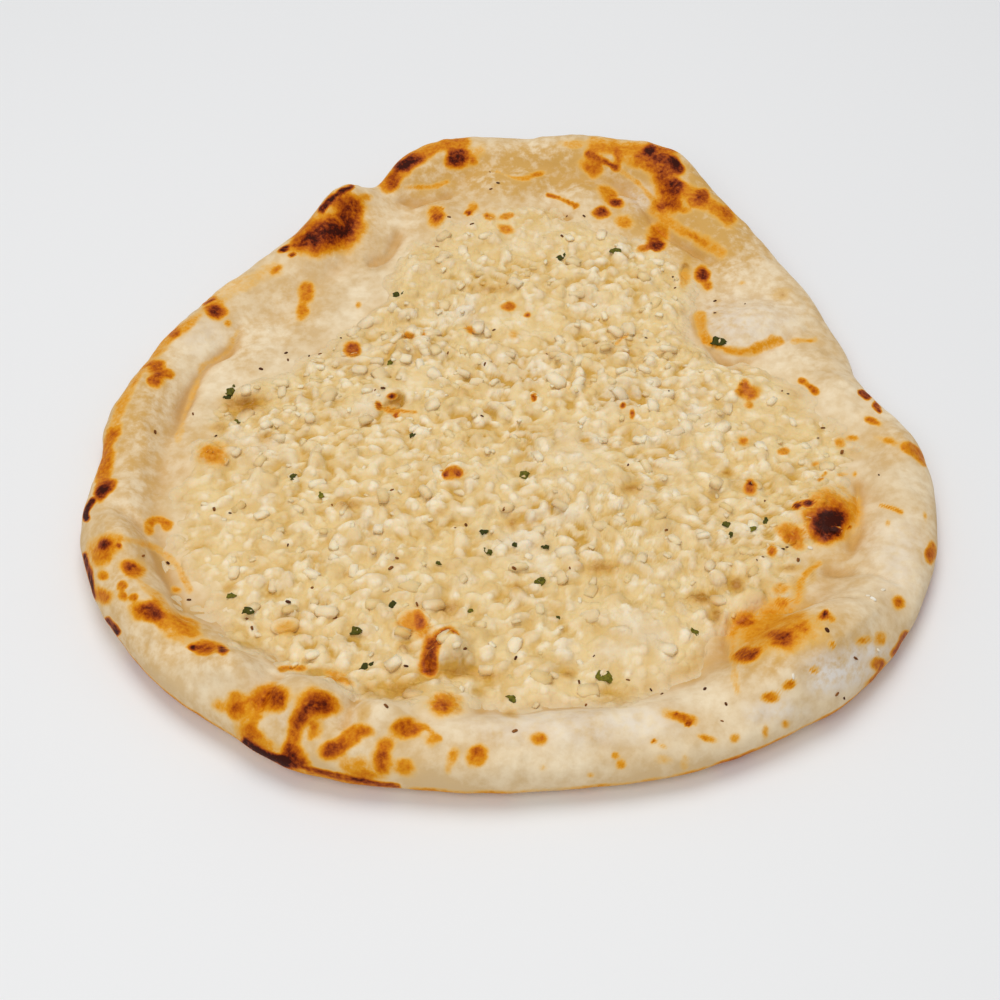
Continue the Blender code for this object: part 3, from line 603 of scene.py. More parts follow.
def stamp(heights, x, y, base, length, width, turn, rise, power, tones=None, tone=0.0):
    """Raises the map to a dome that stands on the base height, and gives that part its tone."""
    reach = int(max(length, width) / MAP_CELL) + 2
    i, j = int((x + MAP_HALF) / MAP_CELL), int((y + MAP_HALF) / MAP_CELL)
    part = (slice(max(i - reach, 0), i + reach + 1), slice(max(j - reach, 0), j + reach + 1))
    c, s = math.cos(turn), math.sin(turn)
    u = np.clip(((MAP_X[part] - x) * c + (MAP_Y[part] - y) * s) / length, -2, 2)
    v = ((MAP_Y[part] - y) * c - (MAP_X[part] - x) * s) / (width * (1 - STAMP_TAPER * u))
    inside = np.clip(1 - np.abs(u) ** STAMP_SQUARENESS - np.abs(v) ** STAMP_SQUARENESS, 0, 1)
    dome = np.where(inside > 0, base + rise * inside ** power, -math.inf)
    if tones is not None:
        tones[part] = np.where(dome > heights[part], tone, tones[part])
    heights[part] = np.maximum(heights[part], dome)


def blur(heights, spread):
    """The map, softened over this distance."""
    cell = 2 * MAP_HALF / (len(heights) - 1)
    steps = np.arange(-int(3 * spread / cell), int(3 * spread / cell) + 1) * cell
    weights = np.exp(-0.5 * (steps / spread) ** 2)
    weights /= weights.sum()
    pad = len(steps) // 2
    for axis in (0, 1):
        wide = np.pad(heights, [(pad, pad) if axis == a else (0, 0) for a in (0, 1)], mode="edge")
        length = heights.shape[axis]
        heights = sum([wide.take(range(k, k + length), axis) * weight for k, weight in enumerate(weights)])
    return heights


def skin_map():
    """Small relief of the upper face: rumples, and blisters on the rim."""
    draw = random.Random(SEED)
    bare = 1 - garlic_share(MAP_X, MAP_Y)
    blisters = np.zeros_like(MAP_X)
    for _ in range(BLISTERS):
        bearing = draw.uniform(0, 2 * math.pi)
        radius = float(outline(bearing)) * (1 - BLISTER_ZONE * draw.random() ** BLISTER_CROWDING)
        size = draw.uniform(*BLISTER_SIZE)
        width, turn = size * draw.uniform(*BLISTER_SLIMNESS), draw.uniform(0, math.pi)
        stamp(blisters, radius * math.cos(bearing), radius * math.sin(bearing), 0.0, size, width, turn,
              draw.uniform(*BLISTER_RISE), BLISTER_POWER)
    rumples = sum(height * rumple(MAP_X, MAP_Y, size, k + SKIN_NOISE)
                  for k, (size, height) in enumerate(RUMPLES))
    return rumples + blisters * bare


def garlic_place(draw, k, count, stray):
    """The k-th place on an even spiral over the garlic region, a little astray."""
    bearing = k * math.pi * (3 - math.sqrt(5))
    radius = math.sqrt((k + 0.5) / count) * (float(garlic_reach(bearing)) + GARLIC_FADE / 2)
    return (radius * math.cos(bearing) + draw.uniform(-stray, stray),
            radius * math.sin(bearing) + draw.uniform(-stray, stray))


# Meshes
def deselect():
    """Clears the selection, which a new primitive or an operator would otherwise act on."""
    if bpy.context.object and bpy.context.object.mode != "OBJECT":
        bpy.ops.object.mode_set(mode="OBJECT")
    bpy.ops.object.select_all(action="DESELECT")


def read_points(piece):
    points = np.empty(len(piece.data.vertices) * 3)
    piece.data.vertices.foreach_get("co", points)
    return points.reshape(-1, 3)


def write_points(piece, points):
    piece.data.vertices.foreach_set("co", np.asarray(points, float).ravel())
    piece.data.update()


def read_normals(piece):
    normals = np.empty(len(piece.data.vertices) * 3)
    piece.data.vertices.foreach_get("normal", normals)
    return normals.reshape(-1, 3)


def to_world(piece):
    """Moves a mesh from layout millimetres to its place in metres."""
    write_points(piece, (read_points(piece) - (*PLAN_MIDDLE, 0)) * MM)


def write_attribute(piece, name, values):
    """Stores one number for each vertex, for the material to read."""
    made = piece.data.attributes.new(name, "FLOAT", "POINT")
    made.data.foreach_set("value", np.asarray(values, float))


def ring_and_bearing(i, j):
    """Ring number and bearing of places on a square grid that is laid out as a disc."""
    wide = np.abs(i) >= np.abs(j)
    slope = np.where(wide, j, i) / np.where(wide, np.where(i == 0, 1, i), j) * math.pi / 4
    half_turn = np.where(np.where(wide, i, j) < 0, math.pi, 0)
    return np.maximum(np.abs(i), np.abs(j)), half_turn + np.where(wide, slope, math.pi / 2 - slope)


def disc_grid(name, cells):
    """New square grid, with the ring number and bearing of each of its vertices."""
    deselect()
    bpy.ops.mesh.primitive_grid_add(x_subdivisions=cells, y_subdivisions=cells, size=cells)
    piece = bpy.context.object
    piece.name = name
    places = np.round(read_points(piece) * 2) / 2
    return piece, *ring_and_bearing(places[:, 0], places[:, 1])


def edge_radius(bearing):
    """The outline with its small unevenness."""
    x, y = from_polar(EDGE_RUMPLES_AT, bearing)
    return outline(bearing) + sum(height * rumple(x, y, size, k + EDGE_NOISE)
                                  for k, (size, height) in enumerate(EDGE_RUMPLES))


def bread_top(skin):
    """Upper face, whose rings crowd towards the edge and are wide apart under the garlic."""
    piece, ring, bearing = disc_grid("naan_bread", TOP_CELLS)
    core_rings = TOP_CELLS // 2 - RIM_RINGS - SHOULDER_RINGS
    across_rim = np.clip((ring - core_rings - SHOULDER_RINGS) / RIM_RINGS, 0, 1)
    across_shoulder = np.clip((ring - core_rings) / SHOULDER_RINGS, 0, 1)
    width = rim_width(bearing)
    core = outline(bearing) - width - SHOULDER
    across_edge = width * np.sin(across_rim * math.pi / 2) ** RIM_CROWDING
    radius = np.clip(ring / core_rings, 0, 1) * core + across_shoulder * SHOULDER + across_edge
    x, y = from_polar(radius, bearing)
    fade = np.clip((width - across_edge) / SKIN_FADE, 0, 1) ** 0.5
    z = top(x, y) + read_map(skin, x, y) * fade - 2 * LAYER_FOOT * smooth_step(0.5, 1, garlic_share(x, y))
    uneven = 1 + (edge_radius(bearing) / outline(bearing) - 1) * smooth_step(0.3, 1, across_rim)
    write_points(piece, np.stack((x * uneven, y * uneven, z), 1))
    return piece


def edit_borders():
    """Goes into edit mode with the open edges of the object in hand selected."""
    bpy.ops.object.mode_set(mode="EDIT")
    bpy.ops.mesh.select_mode(type="EDGE")
    bpy.ops.mesh.select_all(action="DESELECT")
    bpy.ops.mesh.select_non_manifold()


def join_pieces(pieces):
    """Joins the pieces into the first one."""
    deselect()
    for piece in pieces:
        piece.select_set(True)
    bpy.context.view_layer.objects.active = pieces[0]
    bpy.ops.object.join()


def tuck_under(piece):
    """Extrudes the top's edge down and under, ring by ring."""
    edit_borders()
    for step in range(1, TUCK_RINGS + 1):
        bpy.ops.mesh.extrude_region_move()
        mesh = bmesh.from_edit_mesh(piece.data)
        ring = [vert for vert in mesh.verts if vert.select]
        places = np.array([vert.co for vert in ring])
        bearing = np.arctan2(places[:, 1], places[:, 0])
        turn = step / TUCK_RINGS * math.pi / 2
        radius = edge_radius(bearing) - TUCK * rim_width(bearing) * (1 - math.cos(turn))
        x, y = from_polar(radius, bearing)
        uneven = TUCK_RUMPLE * rumple(x, y, 4, TUCK_NOISE + step)
        z = lift(y) + (EQUATOR * rim_height(bearing) + uneven) * (1 - math.sin(turn))
        for vert, place in zip(ring, zip(x, y, z)):
            vert.co = place
        bmesh.update_edit_mesh(piece.data)
    bpy.ops.object.mode_set(mode="OBJECT")


def facing_down(reach, height):
    """Sheet that looks down, out to this reach and at this height over the plan."""
    piece, ring, bearing = disc_grid("underside", UNDER_CELLS)
    radius = ring / ring.max() * reach(bearing)
    x, y = from_polar(radius, bearing)
    write_points(piece, np.stack((x, y, height(x, y)), 1))
    bpy.ops.object.mode_set(mode="EDIT")
    bpy.ops.mesh.select_all(action="SELECT")
    bpy.ops.mesh.flip_normals()
    bpy.ops.object.mode_set(mode="OBJECT")
    return piece


def under_reach(bearing):
    """How far out the underside's sheet reaches, inside the tucked edge."""
    return outline(bearing) - TUCK * rim_width(bearing) - UNDER_MARGIN


def under_height(x, y):
    """Underside, which follows the lift and has shallow hollows."""
    hollows = rumple(x, y, 13, UNDER_NOISE) + 0.5 * rumple(x, y, 6, UNDER_NOISE + 1)
    return lift(y) + np.clip(hollows, 0, None) * UNDER_HOLLOWS


def close_with(piece, underside):
    """Joins an open top to the sheet below it and bridges their borders."""
    join_pieces([piece, underside])
    edit_borders()
    bpy.ops.mesh.bridge_edge_loops()
    bpy.ops.mesh.select_all(action="SELECT")
    bpy.ops.mesh.normals_make_consistent(inside=False)
    bpy.ops.object.mode_set(mode="OBJECT")
    bpy.ops.object.shade_smooth()


def bread_piece(skin):
    """The bread as one closed skin, in layout millimetres."""
    piece = bread_top(skin)
    tuck_under(piece)
    close_with(piece, facing_down(under_reach, under_height))
    return piece


def joined_copies(name, shapes, copies):
    """One mesh of many placed copies. A copy is its shape's number, size, turn, place and values."""
    starts, points, faces, values = 0, [], [], []
    for which, size, turn, place, extra in copies:
        verts, quads = shapes[which]
        points.append((verts * size) @ np.array(turn).T + place)
        faces.append(quads + starts)
        values.append(np.tile(extra, (len(verts), 1)))
        starts += len(verts)
    points, faces = np.concatenate(points), np.concatenate(faces)
    mesh = bpy.data.meshes.new(name)
    mesh.vertices.add(len(points))
    mesh.vertices.foreach_set("co", points.ravel())
    mesh.loops.add(faces.size)
    mesh.loops.foreach_set("vertex_index", faces.ravel())
    mesh.polygons.add(len(faces))
    mesh.polygons.foreach_set("loop_start", np.arange(len(faces)) * 4)
    mesh.update(calc_edges=True)
    mesh.validate()
    mesh.shade_smooth()
    piece = bpy.data.objects.new(name, mesh)
    bpy.context.scene.collection.objects.link(piece)
    return piece, np.concatenate(values)


def take_shape():
    """Vertices and quads of the object in hand, which is then removed."""
    piece = bpy.context.object
    verts = read_points(piece)
    quads = np.array([list(face.vertices) for face in piece.data.polygons])
    bpy.data.objects.remove(piece, do_unlink=True)
    return verts, quads


def chopped_shapes(count, roundness, offset, seed):
    """Chopped bits: cubes cut once across each face, rounded and made uneven, of unit size."""
    shapes = []
    for k in range(count):
        deselect()
        bpy.ops.mesh.primitive_cube_add(size=1)
        bpy.ops.object.mode_set(mode="EDIT")
        bpy.ops.mesh.select_all(action="SELECT")
        bpy.ops.mesh.subdivide(number_cuts=1)
        bpy.ops.transform.vertex_random(offset=offset, uniform=0.6, seed=seed + k)
        bpy.ops.object.mode_set(mode="OBJECT")
        rounding = bpy.context.object.modifiers.new("Rounding", "CAST")
        rounding.factor = roundness[k % len(roundness)]
        bpy.ops.object.modifier_apply(modifier="Rounding")
        shapes.append(take_shape())
    return shapes


def flake_shapes(count, seed):
    """Torn herb flakes: thin wavy leaves with a ragged outline, of unit length."""
    shapes = []
    for k in range(count):
        deselect()
        bpy.ops.mesh.primitive_grid_add(x_subdivisions=6, y_subdivisions=4, size=1)
        piece = bpy.context.object
        points = read_points(piece)
        draw = np.random.default_rng(seed + k)
        x, y = points[:, 0] * 2, points[:, 1] * 2
        taper = 1 - (0.5 + 0.4 * draw.random()) * np.clip(x * draw.choice((-1, 1)), 0, 1) ** 1.5
        y = y * taper + 0.15 * np.sin(3 * x + draw.uniform(0, 6)) * draw.uniform(0.3, 1.2)
        points[:, 0] = 0.5 * (x + draw.uniform(-0.14, 0.14, len(x)))
        points[:, 1] = 0.3 * (y + draw.uniform(-0.16, 0.16, len(x)))
        points[:, 2] = 0.07 * np.sin(5 * x + draw.uniform(0, 6)) + 0.08 * y * y * draw.uniform(-1, 1)
        write_points(piece, points)
        thickness = piece.modifiers.new("Thickness", "SOLIDIFY")
        thickness.thickness = HERB_THICKNESS
        bpy.ops.object.modifier_apply(modifier="Thickness")
        shapes.append(take_shape())
    return shapes


# What the camera of the photograph sees
CAMERA_AXES = np.array(Euler(CAMERA_TURN).to_matrix())


def pixels_of(points):
    """Pixel and distance ahead of the camera for points in metres."""
    ahead = (points - CAMERA_PLACE) @ CAMERA_AXES
    distance = -ahead[:, 2]
    across, upward = FOCAL * ahead[:, 0] / distance, FOCAL * ahead[:, 1] / distance
    return PHOTO_MIDDLE + across, PHOTO_MIDDLE - upward, distance


def seen_at(u, v, pieces):
    """Place, normal and distance of what the camera sees at a pixel, nudged inwards if that misses."""
    start = Vector(CAMERA_PLACE)
    for nudge in range(NUDGES):
        share = nudge * NUDGE
        across = u + (BREAD_MIDDLE[0] - u) * share - PHOTO_MIDDLE
        upward = PHOTO_MIDDLE - (v + (BREAD_MIDDLE[1] - v) * share)
        along = Vector(CAMERA_AXES @ (across, upward, -FOCAL))
        hits = [piece.ray_cast(start, along.normalized()) for piece in pieces]
        hits = [(hit[1], hit[2]) for hit in hits if hit[0]]
        if hits:
            place, normal = min(hits, key=lambda hit: (hit[0] - start).length)
            return place, normal, pixels_of(np.array([place]))[2][0]
    raise ValueError(f"nothing is seen at {u}, {v}")


def read_marks(bread):
    """Every mark with the distance of its pixels, as rows that paint() takes."""
    marks = {"toast_and_shade": [], "oil": [], "smooth": [], "golden": [], "flour": []}
    for u, v, across, upward, turn, strength in SCORCHES:
        marks["toast_and_shade"].append((strength, across, upward, turn, ((u, v),), (seen_at(u, v, [bread])[2],)))
    # The lines go with the scorch marks, the one of painted crease shade too
    for half, strength, points in SCORCHED_AND_SHADED_LINES:
        depths = [seen_at(u, v, [bread])[2] for u, v in points]
        marks["toast_and_shade"].append((strength, half, half, 0, points, depths))
    tables = ("oil", OIL_POOLS), ("smooth", SMOOTH_PLACES), ("golden", GOLDEN), ("flour", FLOUR)
    for name, table in tables:
        for u, v, across, upward, strength in table:
            marks[name].append((strength, across, upward, 0, ((u, v),), (seen_at(u, v, [bread])[2],)))
    return marks


def paint(marks, points, facing, softness=MARK_SOFTNESS):
    """How strongly each point is marked. facing is 1 where the surface looks at the camera."""
    u, v, distance = pixels_of(points)
    size = distance / FOCAL / MM            # millimetres to a pixel
    plan_x, plan_y = points[:, 0] / MM, points[:, 1] / MM
    wobble = 1.5 * rumple(plan_x, plan_y, 5.5, MARK_NOISE) + 1.0 * rumple(plan_x, plan_y, 2.6, MARK_NOISE + 1)
    total = np.zeros(len(points))
    for strength, across, upward, turn, line, depths in marks:
        across, upward = max(across, FINEST_MARK), max(upward, FINEST_MARK)
        if len(line) == 1:
            c, s = math.cos(math.radians(turn)), math.sin(math.radians(turn))
            du, dv = (u - line[0][0]) * size, (line[0][1] - v) * size
            far = np.hypot((du * c + dv * s) / across, (dv * c - du * s) / upward)
            depth = depths[0]
        else:
            smooth = rounded(line)
            far, along = along_line(u, v, smooth)
            far = far * size / across
            depth = np.interp(along / (len(smooth) - 1), np.linspace(0, 1, len(depths)), depths)
        far = far + wobble / (min(across, upward) + 2.2)
        room = (6 + 2.2 * max(across, upward)) * MM
        near = smooth_step(1, 0.6, np.abs(distance - depth) / room)
        total += (strength * smooth_step(1 + softness, 1 - softness, far) * near) ** 3
    return np.cbrt(total) * facing


def facing_camera(points, normals):
    """1 where a surface looks at the camera, 0 where it looks away."""
    towards = CAMERA_PLACE - points
    towards /= np.linalg.norm(towards, axis=1, keepdims=True)
    return smooth_step(-0.05, 0.2, (towards * normals).sum(1))


# Garlic, herbs and crumbs
def melt_garlic(draw, ground, oil_map, smooth_map, bread):
    """Height and tone maps of the garlic that has melted together with butter."""
    cover, tones, bare = ground.copy(), np.full_like(ground, 0.5), ground.copy()
    for count, lengths in ((MELTED_COARSE, COARSE_LENGTH), (MELTED_FINE, FINE_LENGTH)):
        for k in range(count):
            x, y = garlic_place(draw, k, count, MELTED_STRAY)
            length = draw.triangular(lengths[0], lengths[2], lengths[1])
            width = length * draw.uniform(*MELTED_WIDTH)
            rise = width * draw.uniform(*MELTED_RISE)
            turn, tone, stack = draw.uniform(0, math.pi), draw.random(), draw.random()
            place = np.array([x]), np.array([y])
            if draw.random() < OIL_CLEARS * read_map(oil_map, *place)[0]:
                continue
            base = read_map(cover if stack < STACKED_SHARE else bare, *place)[0]
            sink = MELTED_SINK * length
            stamp(cover, x, y, base - sink, length / 2, width / 2, turn, rise + sink, MELTED_POWER,
                  tones, tone)
    for u, v, length, width, turn in BIG_BITS:
        x, y, z = np.array(seen_at(u, v, [bread])[0]) / MM + (*PLAN_MIDDLE, 0)
        stamp(cover, x, y, z - BIG_SINK, length / 2, width / 2, math.radians(turn),
              BIG_RISE * width + BIG_SINK, BIG_POWER, tones, BIG_TONE)
    level = blur(cover, LEVEL_SPREAD)
    uneven = FILM_RUMPLE * rumple(MAP_X, MAP_Y, FILM_PATCH, FILM_NOISE)
    film = level + FILM_LEVEL + uneven + SMOOTH_FILM * smooth_map
    film = np.where(oil_map > OIL_BARE, -math.inf, film)
    return blur(np.maximum(cover, film), MELT), blur(tones, MELT)


def layer_reach(bearing):
    """How far out the layer of melted garlic reaches."""
    return garlic_reach(bearing) + GARLIC_FADE / 2 + LAYER_MARGIN


def garlic_layer(bare, cover):
    """The melted garlic as one sheet, whose border sinks into the bread, closed inside the bread."""
    piece, ring, bearing = disc_grid("melted_garlic", LAYER_CELLS)
    radius = ring / ring.max() * layer_reach(bearing)
    x, y = from_polar(radius, bearing)
    share = garlic_share(x, y)
    low, high = read_map(bare, x, y), read_map(cover, x, y)
    write_points(piece, np.stack((x, y, low + (high - low) * share - LAYER_FOOT * (1 - share) ** 2), 1))
    close_with(piece, facing_down(layer_reach, lambda x, y: read_map(bare, x, y) - 3 * LAYER_FOOT))
    return piece


def leaning(draw, spin, lean):
    """Turn about the upright axis after a lean to a random side."""
    side = Vector((math.cos(draw.uniform(0, 2 * math.pi)), math.sin(draw.uniform(0, 2 * math.pi)), 0))
    return Matrix.Rotation(spin, 3, "Z") @ Matrix.Rotation(lean, 3, side.normalized())


def garlic_bits(name, draw, shapes, count, lengths, ground, covered):
    """Loose bits of garlic, half sunk into the layer, whose height map is ground."""
    copies = []
    for k in range(count):
        x, y = garlic_place(draw, k, count, LOOSE_STRAY)
        spin, lean = draw.uniform(0, math.pi), draw.gauss(0, LOOSE_LEAN)
        length = draw.triangular(lengths[0], lengths[2], lengths[1])
        width, height = length * draw.uniform(*LOOSE_WIDTH), length * draw.uniform(*LOOSE_HEIGHT)
        shape, tone = draw.randrange(len(shapes)), draw.random()
        chance = draw.random()
        place = np.array([x]), np.array([y])
        share = smooth_step(LOOSE_FROM, 1, garlic_share(*place)[0]) * (1 - read_map(covered, *place)[0])
        dense = 0.5 + 0.5 * rumple(*place, LOOSE_PATCH, LOOSE_NOISE)[0]
        if chance > share * (0.45 + 0.9 * dense):
            continue
        middle = read_map(ground, *place)[0] + draw.uniform(*LOOSE_LEVEL) * height
        copies.append((shape, (length, width, height), leaning(draw, spin, lean), (x, y, middle),
                       (middle - 0.5 * height, height, tone)))
    piece, values = joined_copies(name, shapes, copies)
    finish_bits(piece, values)
    return piece


def finish_layer(piece, ground, tones):
    """Puts the layer in place and stores the height over the lowest garlic near it, and its tone."""
    x, y, z = read_points(piece).T
    # rise: the garlic material paints high places cream and low ones golden, as painted light and shade with
    # oil
    write_attribute(piece, "rise", smooth_step(-1.0, 0.9, z - read_map(blur(ground, 1.4), x, y)))
    write_attribute(piece, "tone", read_map(tones, x, y))
    write_attribute(piece, "melted", np.ones(len(x)))
    to_world(piece)


def finish_bits(piece, values):
    """Puts the bits in place and stores the height over each bit's foot and the bit's own tone."""
    heights = read_points(piece)[:, 2]
    # rise: the garlic material paints high places cream and low ones golden, as painted light and shade with
    # oil
    write_attribute(piece, "rise", np.clip((heights - values[:, 0]) / values[:, 1], 0, 0.7))
    write_attribute(piece, "tone", values[:, 2])
    to_world(piece)


def set_on(place, normal, spin, rise):
    """Turn and place in layout millimetres of a flat thing that lies on a surface."""
    upright = Vector((0, 0, 1)).rotation_difference((normal + Vector((0, 0, 0.6))).normalized()).to_matrix()
    layout = np.array(place) / MM + (*PLAN_MIDDLE, 0)
    return upright @ Matrix.Rotation(spin, 3, "Z"), layout + np.array(normal) * rise


def strewn(name, shapes, copies):
    """Joined copies of small things, in place and with their tones."""
    piece, values = joined_copies(name, shapes, copies)
    write_attribute(piece, "tone", values[:, 0])
    to_world(piece)
    return piece


def herb_flakes(draw, pieces):
    """Dark green flakes on the garlic."""
    shapes = flake_shapes(HERB_SHAPES, FLAKE_SHAPES_SEED)
    copies = []
    for k, (u, v, length, turn) in enumerate(HERBS):
        place, normal, _ = seen_at(u, v, pieces)
        rotation, middle = set_on(place, normal, math.radians(turn), HERB_RISE)
        copies.append((k % len(shapes), (length, length, length), rotation, middle, (draw.random(),)))
    return strewn("herb_flakes", shapes, copies)


def garlic_slices(pieces):
    """Browned slices of garlic: rounded discs with a dented middle."""
    made = []
    for k, (u, v, length, width, height, turn) in enumerate(SLICES):
        deselect()
        bpy.ops.mesh.primitive_uv_sphere_add(segments=SLICE_SEGMENTS, ring_count=SLICE_RINGS, radius=1)
        piece = bpy.context.object
        x, y, z = read_points(piece).T
        radius = np.hypot(x, y)
        wide = np.maximum(radius, 1e-6) ** -0.45 * (1 + 0.07 * rumple(20 * x, 20 * y, 9, SLICE_NOISE + k))
        z = np.sign(z) * np.abs(z) ** 0.7 - 0.3 * smooth_step(0.8, 0.1, radius ** 0.55) * (z > 0)
        points = np.stack((x * wide * length, y * wide * width, z * height), 1) / 2
        place, normal, _ = seen_at(u, v, pieces)
        rotation, middle = set_on(place, normal, math.radians(turn), SLICE_LEVEL * height)
        write_points(piece, points @ np.array(rotation).T + middle)
        to_world(piece)
        made.append(piece)
    join_pieces(made)
    bpy.ops.object.shade_smooth()
    slices = bpy.context.object
    slices.name = "garlic_slices"
    write_attribute(slices, "rise", np.full(len(slices.data.vertices), SLICE_CREAM))
    return slices


def small_bits(name, draw, pixels, lengths, pieces):
    """Specks or crumbs at these pixels."""
    shapes = chopped_shapes(SPECK_SHAPES, SPECK_ROUNDNESS, SPECK_UNEVEN, SPECK_SHAPES_SEED)
    copies = []
    for k, (u, v) in enumerate(pixels):
        place, normal, _ = seen_at(u, v, pieces)
        length = draw.uniform(*lengths)
        rotation, middle = set_on(place, normal, draw.uniform(0, math.pi), SPECK_RISE)
        size = (length, length * draw.uniform(*SPECK_WIDTH), length * SPECK_HEIGHT)
        copies.append((k % len(shapes), size, rotation, middle, (draw.random(),)))
    return strewn(name, shapes, copies)


# Materials
def put(tree, kind, settings=None, **inputs):
    """New node. Settings are its own, and inputs are values or sockets, with _ for a space in the name."""
    made = tree.nodes.new(kind)
    for name, value in (settings or {}).items():
        setattr(made, name, value)
    for name, value in inputs.items():
        connect(tree, made.inputs[name.replace("_", " ")], value)
    return made


def connect(tree, socket, value):
    if isinstance(value, bpy.types.NodeSocket):
        tree.links.new(value, socket)
    else:
        socket.default_value = value


def maths(tree, operation, first, second=0.0, clamp=False):
    made = tree.nodes.new("ShaderNodeMath")
    made.operation = operation
    made.use_clamp = clamp
    connect(tree, made.inputs[0], first)
    connect(tree, made.inputs[1], second)
    return made.outputs[0]


def times(tree, first, second, clamp=False):
    return maths(tree, "MULTIPLY", first, second, clamp)


def plus(tree, first, second, clamp=False):
    return maths(tree, "ADD", first, second, clamp)


def blend_colours(tree, factor, first, second):
    made = tree.nodes.new("ShaderNodeMix")
    made.data_type = "RGBA"
    connect(tree, made.inputs[0], factor)
    connect(tree, made.inputs[6], first)
    connect(tree, made.inputs[7], second)
    return made.outputs[2]


def ramp(tree, value, low, high, start=0.0, end=1.0):
    """Soft ramp from start at low to end at high."""
    made = put(tree, "ShaderNodeMapRange", {"interpolation_type": "SMOOTHSTEP"}, Value=value,
               From_Min=low, From_Max=high, To_Min=start, To_Max=end)
    return made.outputs[0]


def noise_at(tree, wavelength, detail=2.0, roughness=0.5):
    """Noise over the piece's own coordinates, with its wavelength in millimetres."""
    coordinates = put(tree, "ShaderNodeTexCoord").outputs["Object"]
    made = put(tree, "ShaderNodeTexNoise", None, Vector=coordinates, Scale=1 / (wavelength * MM),
               Detail=detail, Roughness=roughness)
    return made.outputs["Fac"]


def attribute(tree, name):
    """A number that write_attribute() stored."""
    return put(tree, "ShaderNodeAttribute", {"attribute_name": name}).outputs["Fac"]


def colour(red, green, blue):
    """Shader colour from 8-bit sRGB values."""
    linear = [(c / 255 / 12.92) if c <= 10 else ((c / 255 + 0.055) / 1.055) ** 2.4
              for c in (red, green, blue)]
    return (*linear, 1.0)


# Colours of the dough, garlic and oil
DOUGH_PALE = colour(242, 224, 191)
DOUGH_WARM = colour(215, 185, 138)
DOUGH_MEAN = colour(226, 202, 162)
# Golden of folds and hollows: partly baked colour, partly painted shade
DOUGH_FOLD_GOLD_AND_SHADE = colour(198, 150, 80)
DOUGH_BLUSH = colour(226, 178, 104)
DOUGH_FLOURY = colour(232, 224, 214)
DOUGH_GOLDEN = colour(208, 163, 88)
GARLIC_CREAM = colour(245, 229, 197)
GARLIC_PALE = colour(238, 228, 208)
GARLIC_GOLD = colour(232, 204, 147)
# Golden of the gaps among the garlic: oil, and painted shade
GAP_OIL_AND_SHADE = colour(206, 161, 72)
OIL_THIN = colour(214, 166, 74)
OIL_GOLD = colour(174, 114, 10)
CRUMB_CELL = 3.0        # size of the crumbs that show in the melted garlic

# Colours of the scorch marks and of the one line of painted crease shade, from faint to black
TOAST_STOPS = (
    (0.0, colour(232, 204, 150)), (0.25, colour(232, 180, 84)), (0.42, colour(222, 148, 24)),
    (0.58, colour(200, 110, 0)), (0.74, colour(158, 68, 0)), (0.88, colour(106, 32, 0)),
    (1.0, colour(58, 14, 2)),
)


def scorch_group():
    """Shared by dough and garlic: oils and browns a colour, the browning also taking in one line of painted
    crease shade, and gives how rough that leaves it.
    """
    tree = bpy.data.node_groups.new("scorch", "ShaderNodeTree")
    face = tree.interface
    face.new_socket("Color", in_out="INPUT", socket_type="NodeSocketColor")
    for name in ("Toast", "Oil"):
        face.new_socket(name, in_out="INPUT", socket_type="NodeSocketFloat")
    face.new_socket("Color", in_out="OUTPUT", socket_type="NodeSocketColor")
    face.new_socket("Roughness", in_out="OUTPUT", socket_type="NodeSocketFloat")
    given = tree.nodes.new("NodeGroupInput").outputs
    broken = plus(tree, times(tree, noise_at(tree, 1.3, 3.0, 0.65), 0.9), 0.5)
    blotched = plus(tree, times(tree, noise_at(tree, 4.5, 2.0), 0.6), 0.7)
    toast_and_shade = times(tree, times(tree, given["Toast"], broken), blotched)
    stops = tree.nodes.new("ShaderNodeValToRGB")
    elements = stops.color_ramp.elements
    while len(elements) < len(TOAST_STOPS):
        elements.new(0.5)
    for element, (position, shade) in zip(elements, TOAST_STOPS):
        element.position = position
        element.color = shade
    tree.links.new(toast_and_shade, stops.inputs["Fac"])
    pooled = times(tree, given["Oil"], broken)
    oiled = blend_colours(tree, ramp(tree, pooled, 0.0, 0.45, 0.0, 0.6), given["Color"], OIL_THIN)
    oiled = blend_colours(tree, ramp(tree, pooled, 0.35, 1.0, 0.0, 0.95), oiled, OIL_GOLD)
    browned = blend_colours(tree, ramp(tree, toast_and_shade, 0.08, 0.42), oiled, stops.outputs["Color"])
    char = ramp(tree, toast_and_shade, 0.75, 1.0)
    rough = maths(tree, "SUBTRACT", 0.52, times(tree, given["Oil"], 0.26))
    rough = plus(tree, rough, times(tree, char, 0.15), clamp=True)
    out = tree.nodes.new("NodeGroupOutput")
    tree.links.new(browned, out.inputs["Color"])
    tree.links.new(rough, out.inputs["Roughness"])
    return tree


def new_material(name, tint):
    material = bpy.data.materials.new(name)
    material.use_nodes = True
    material.diffuse_color = tint
    tree = material.node_tree
    return material, tree, tree.nodes["Principled BSDF"]


def use_group(tree, group, **inputs):
    made = put(tree, "ShaderNodeGroup", {"node_tree": group}, **inputs)
    return made.outputs


def show_marked(tree, shader, scorch, base):
    """Gives the shader this colour with its oil and scorch marks."""
    marked = use_group(tree, scorch, Color=base, Toast=attribute(tree, "toast_and_shade"), Oil=attribute(tree, "oil"))
    tree.links.new(marked["Color"], shader.inputs["Base Color"])
    tree.links.new(marked["Roughness"], shader.inputs["Roughness"])


def bump(tree, shader, height, distance):
    """Fine relief of the shader, with its depth in millimetres."""
    made = put(tree, "ShaderNodeBump", None, Strength=1.0, Distance=distance * MM, Height=height)
    tree.links.new(made.outputs["Normal"], shader.inputs["Normal"])


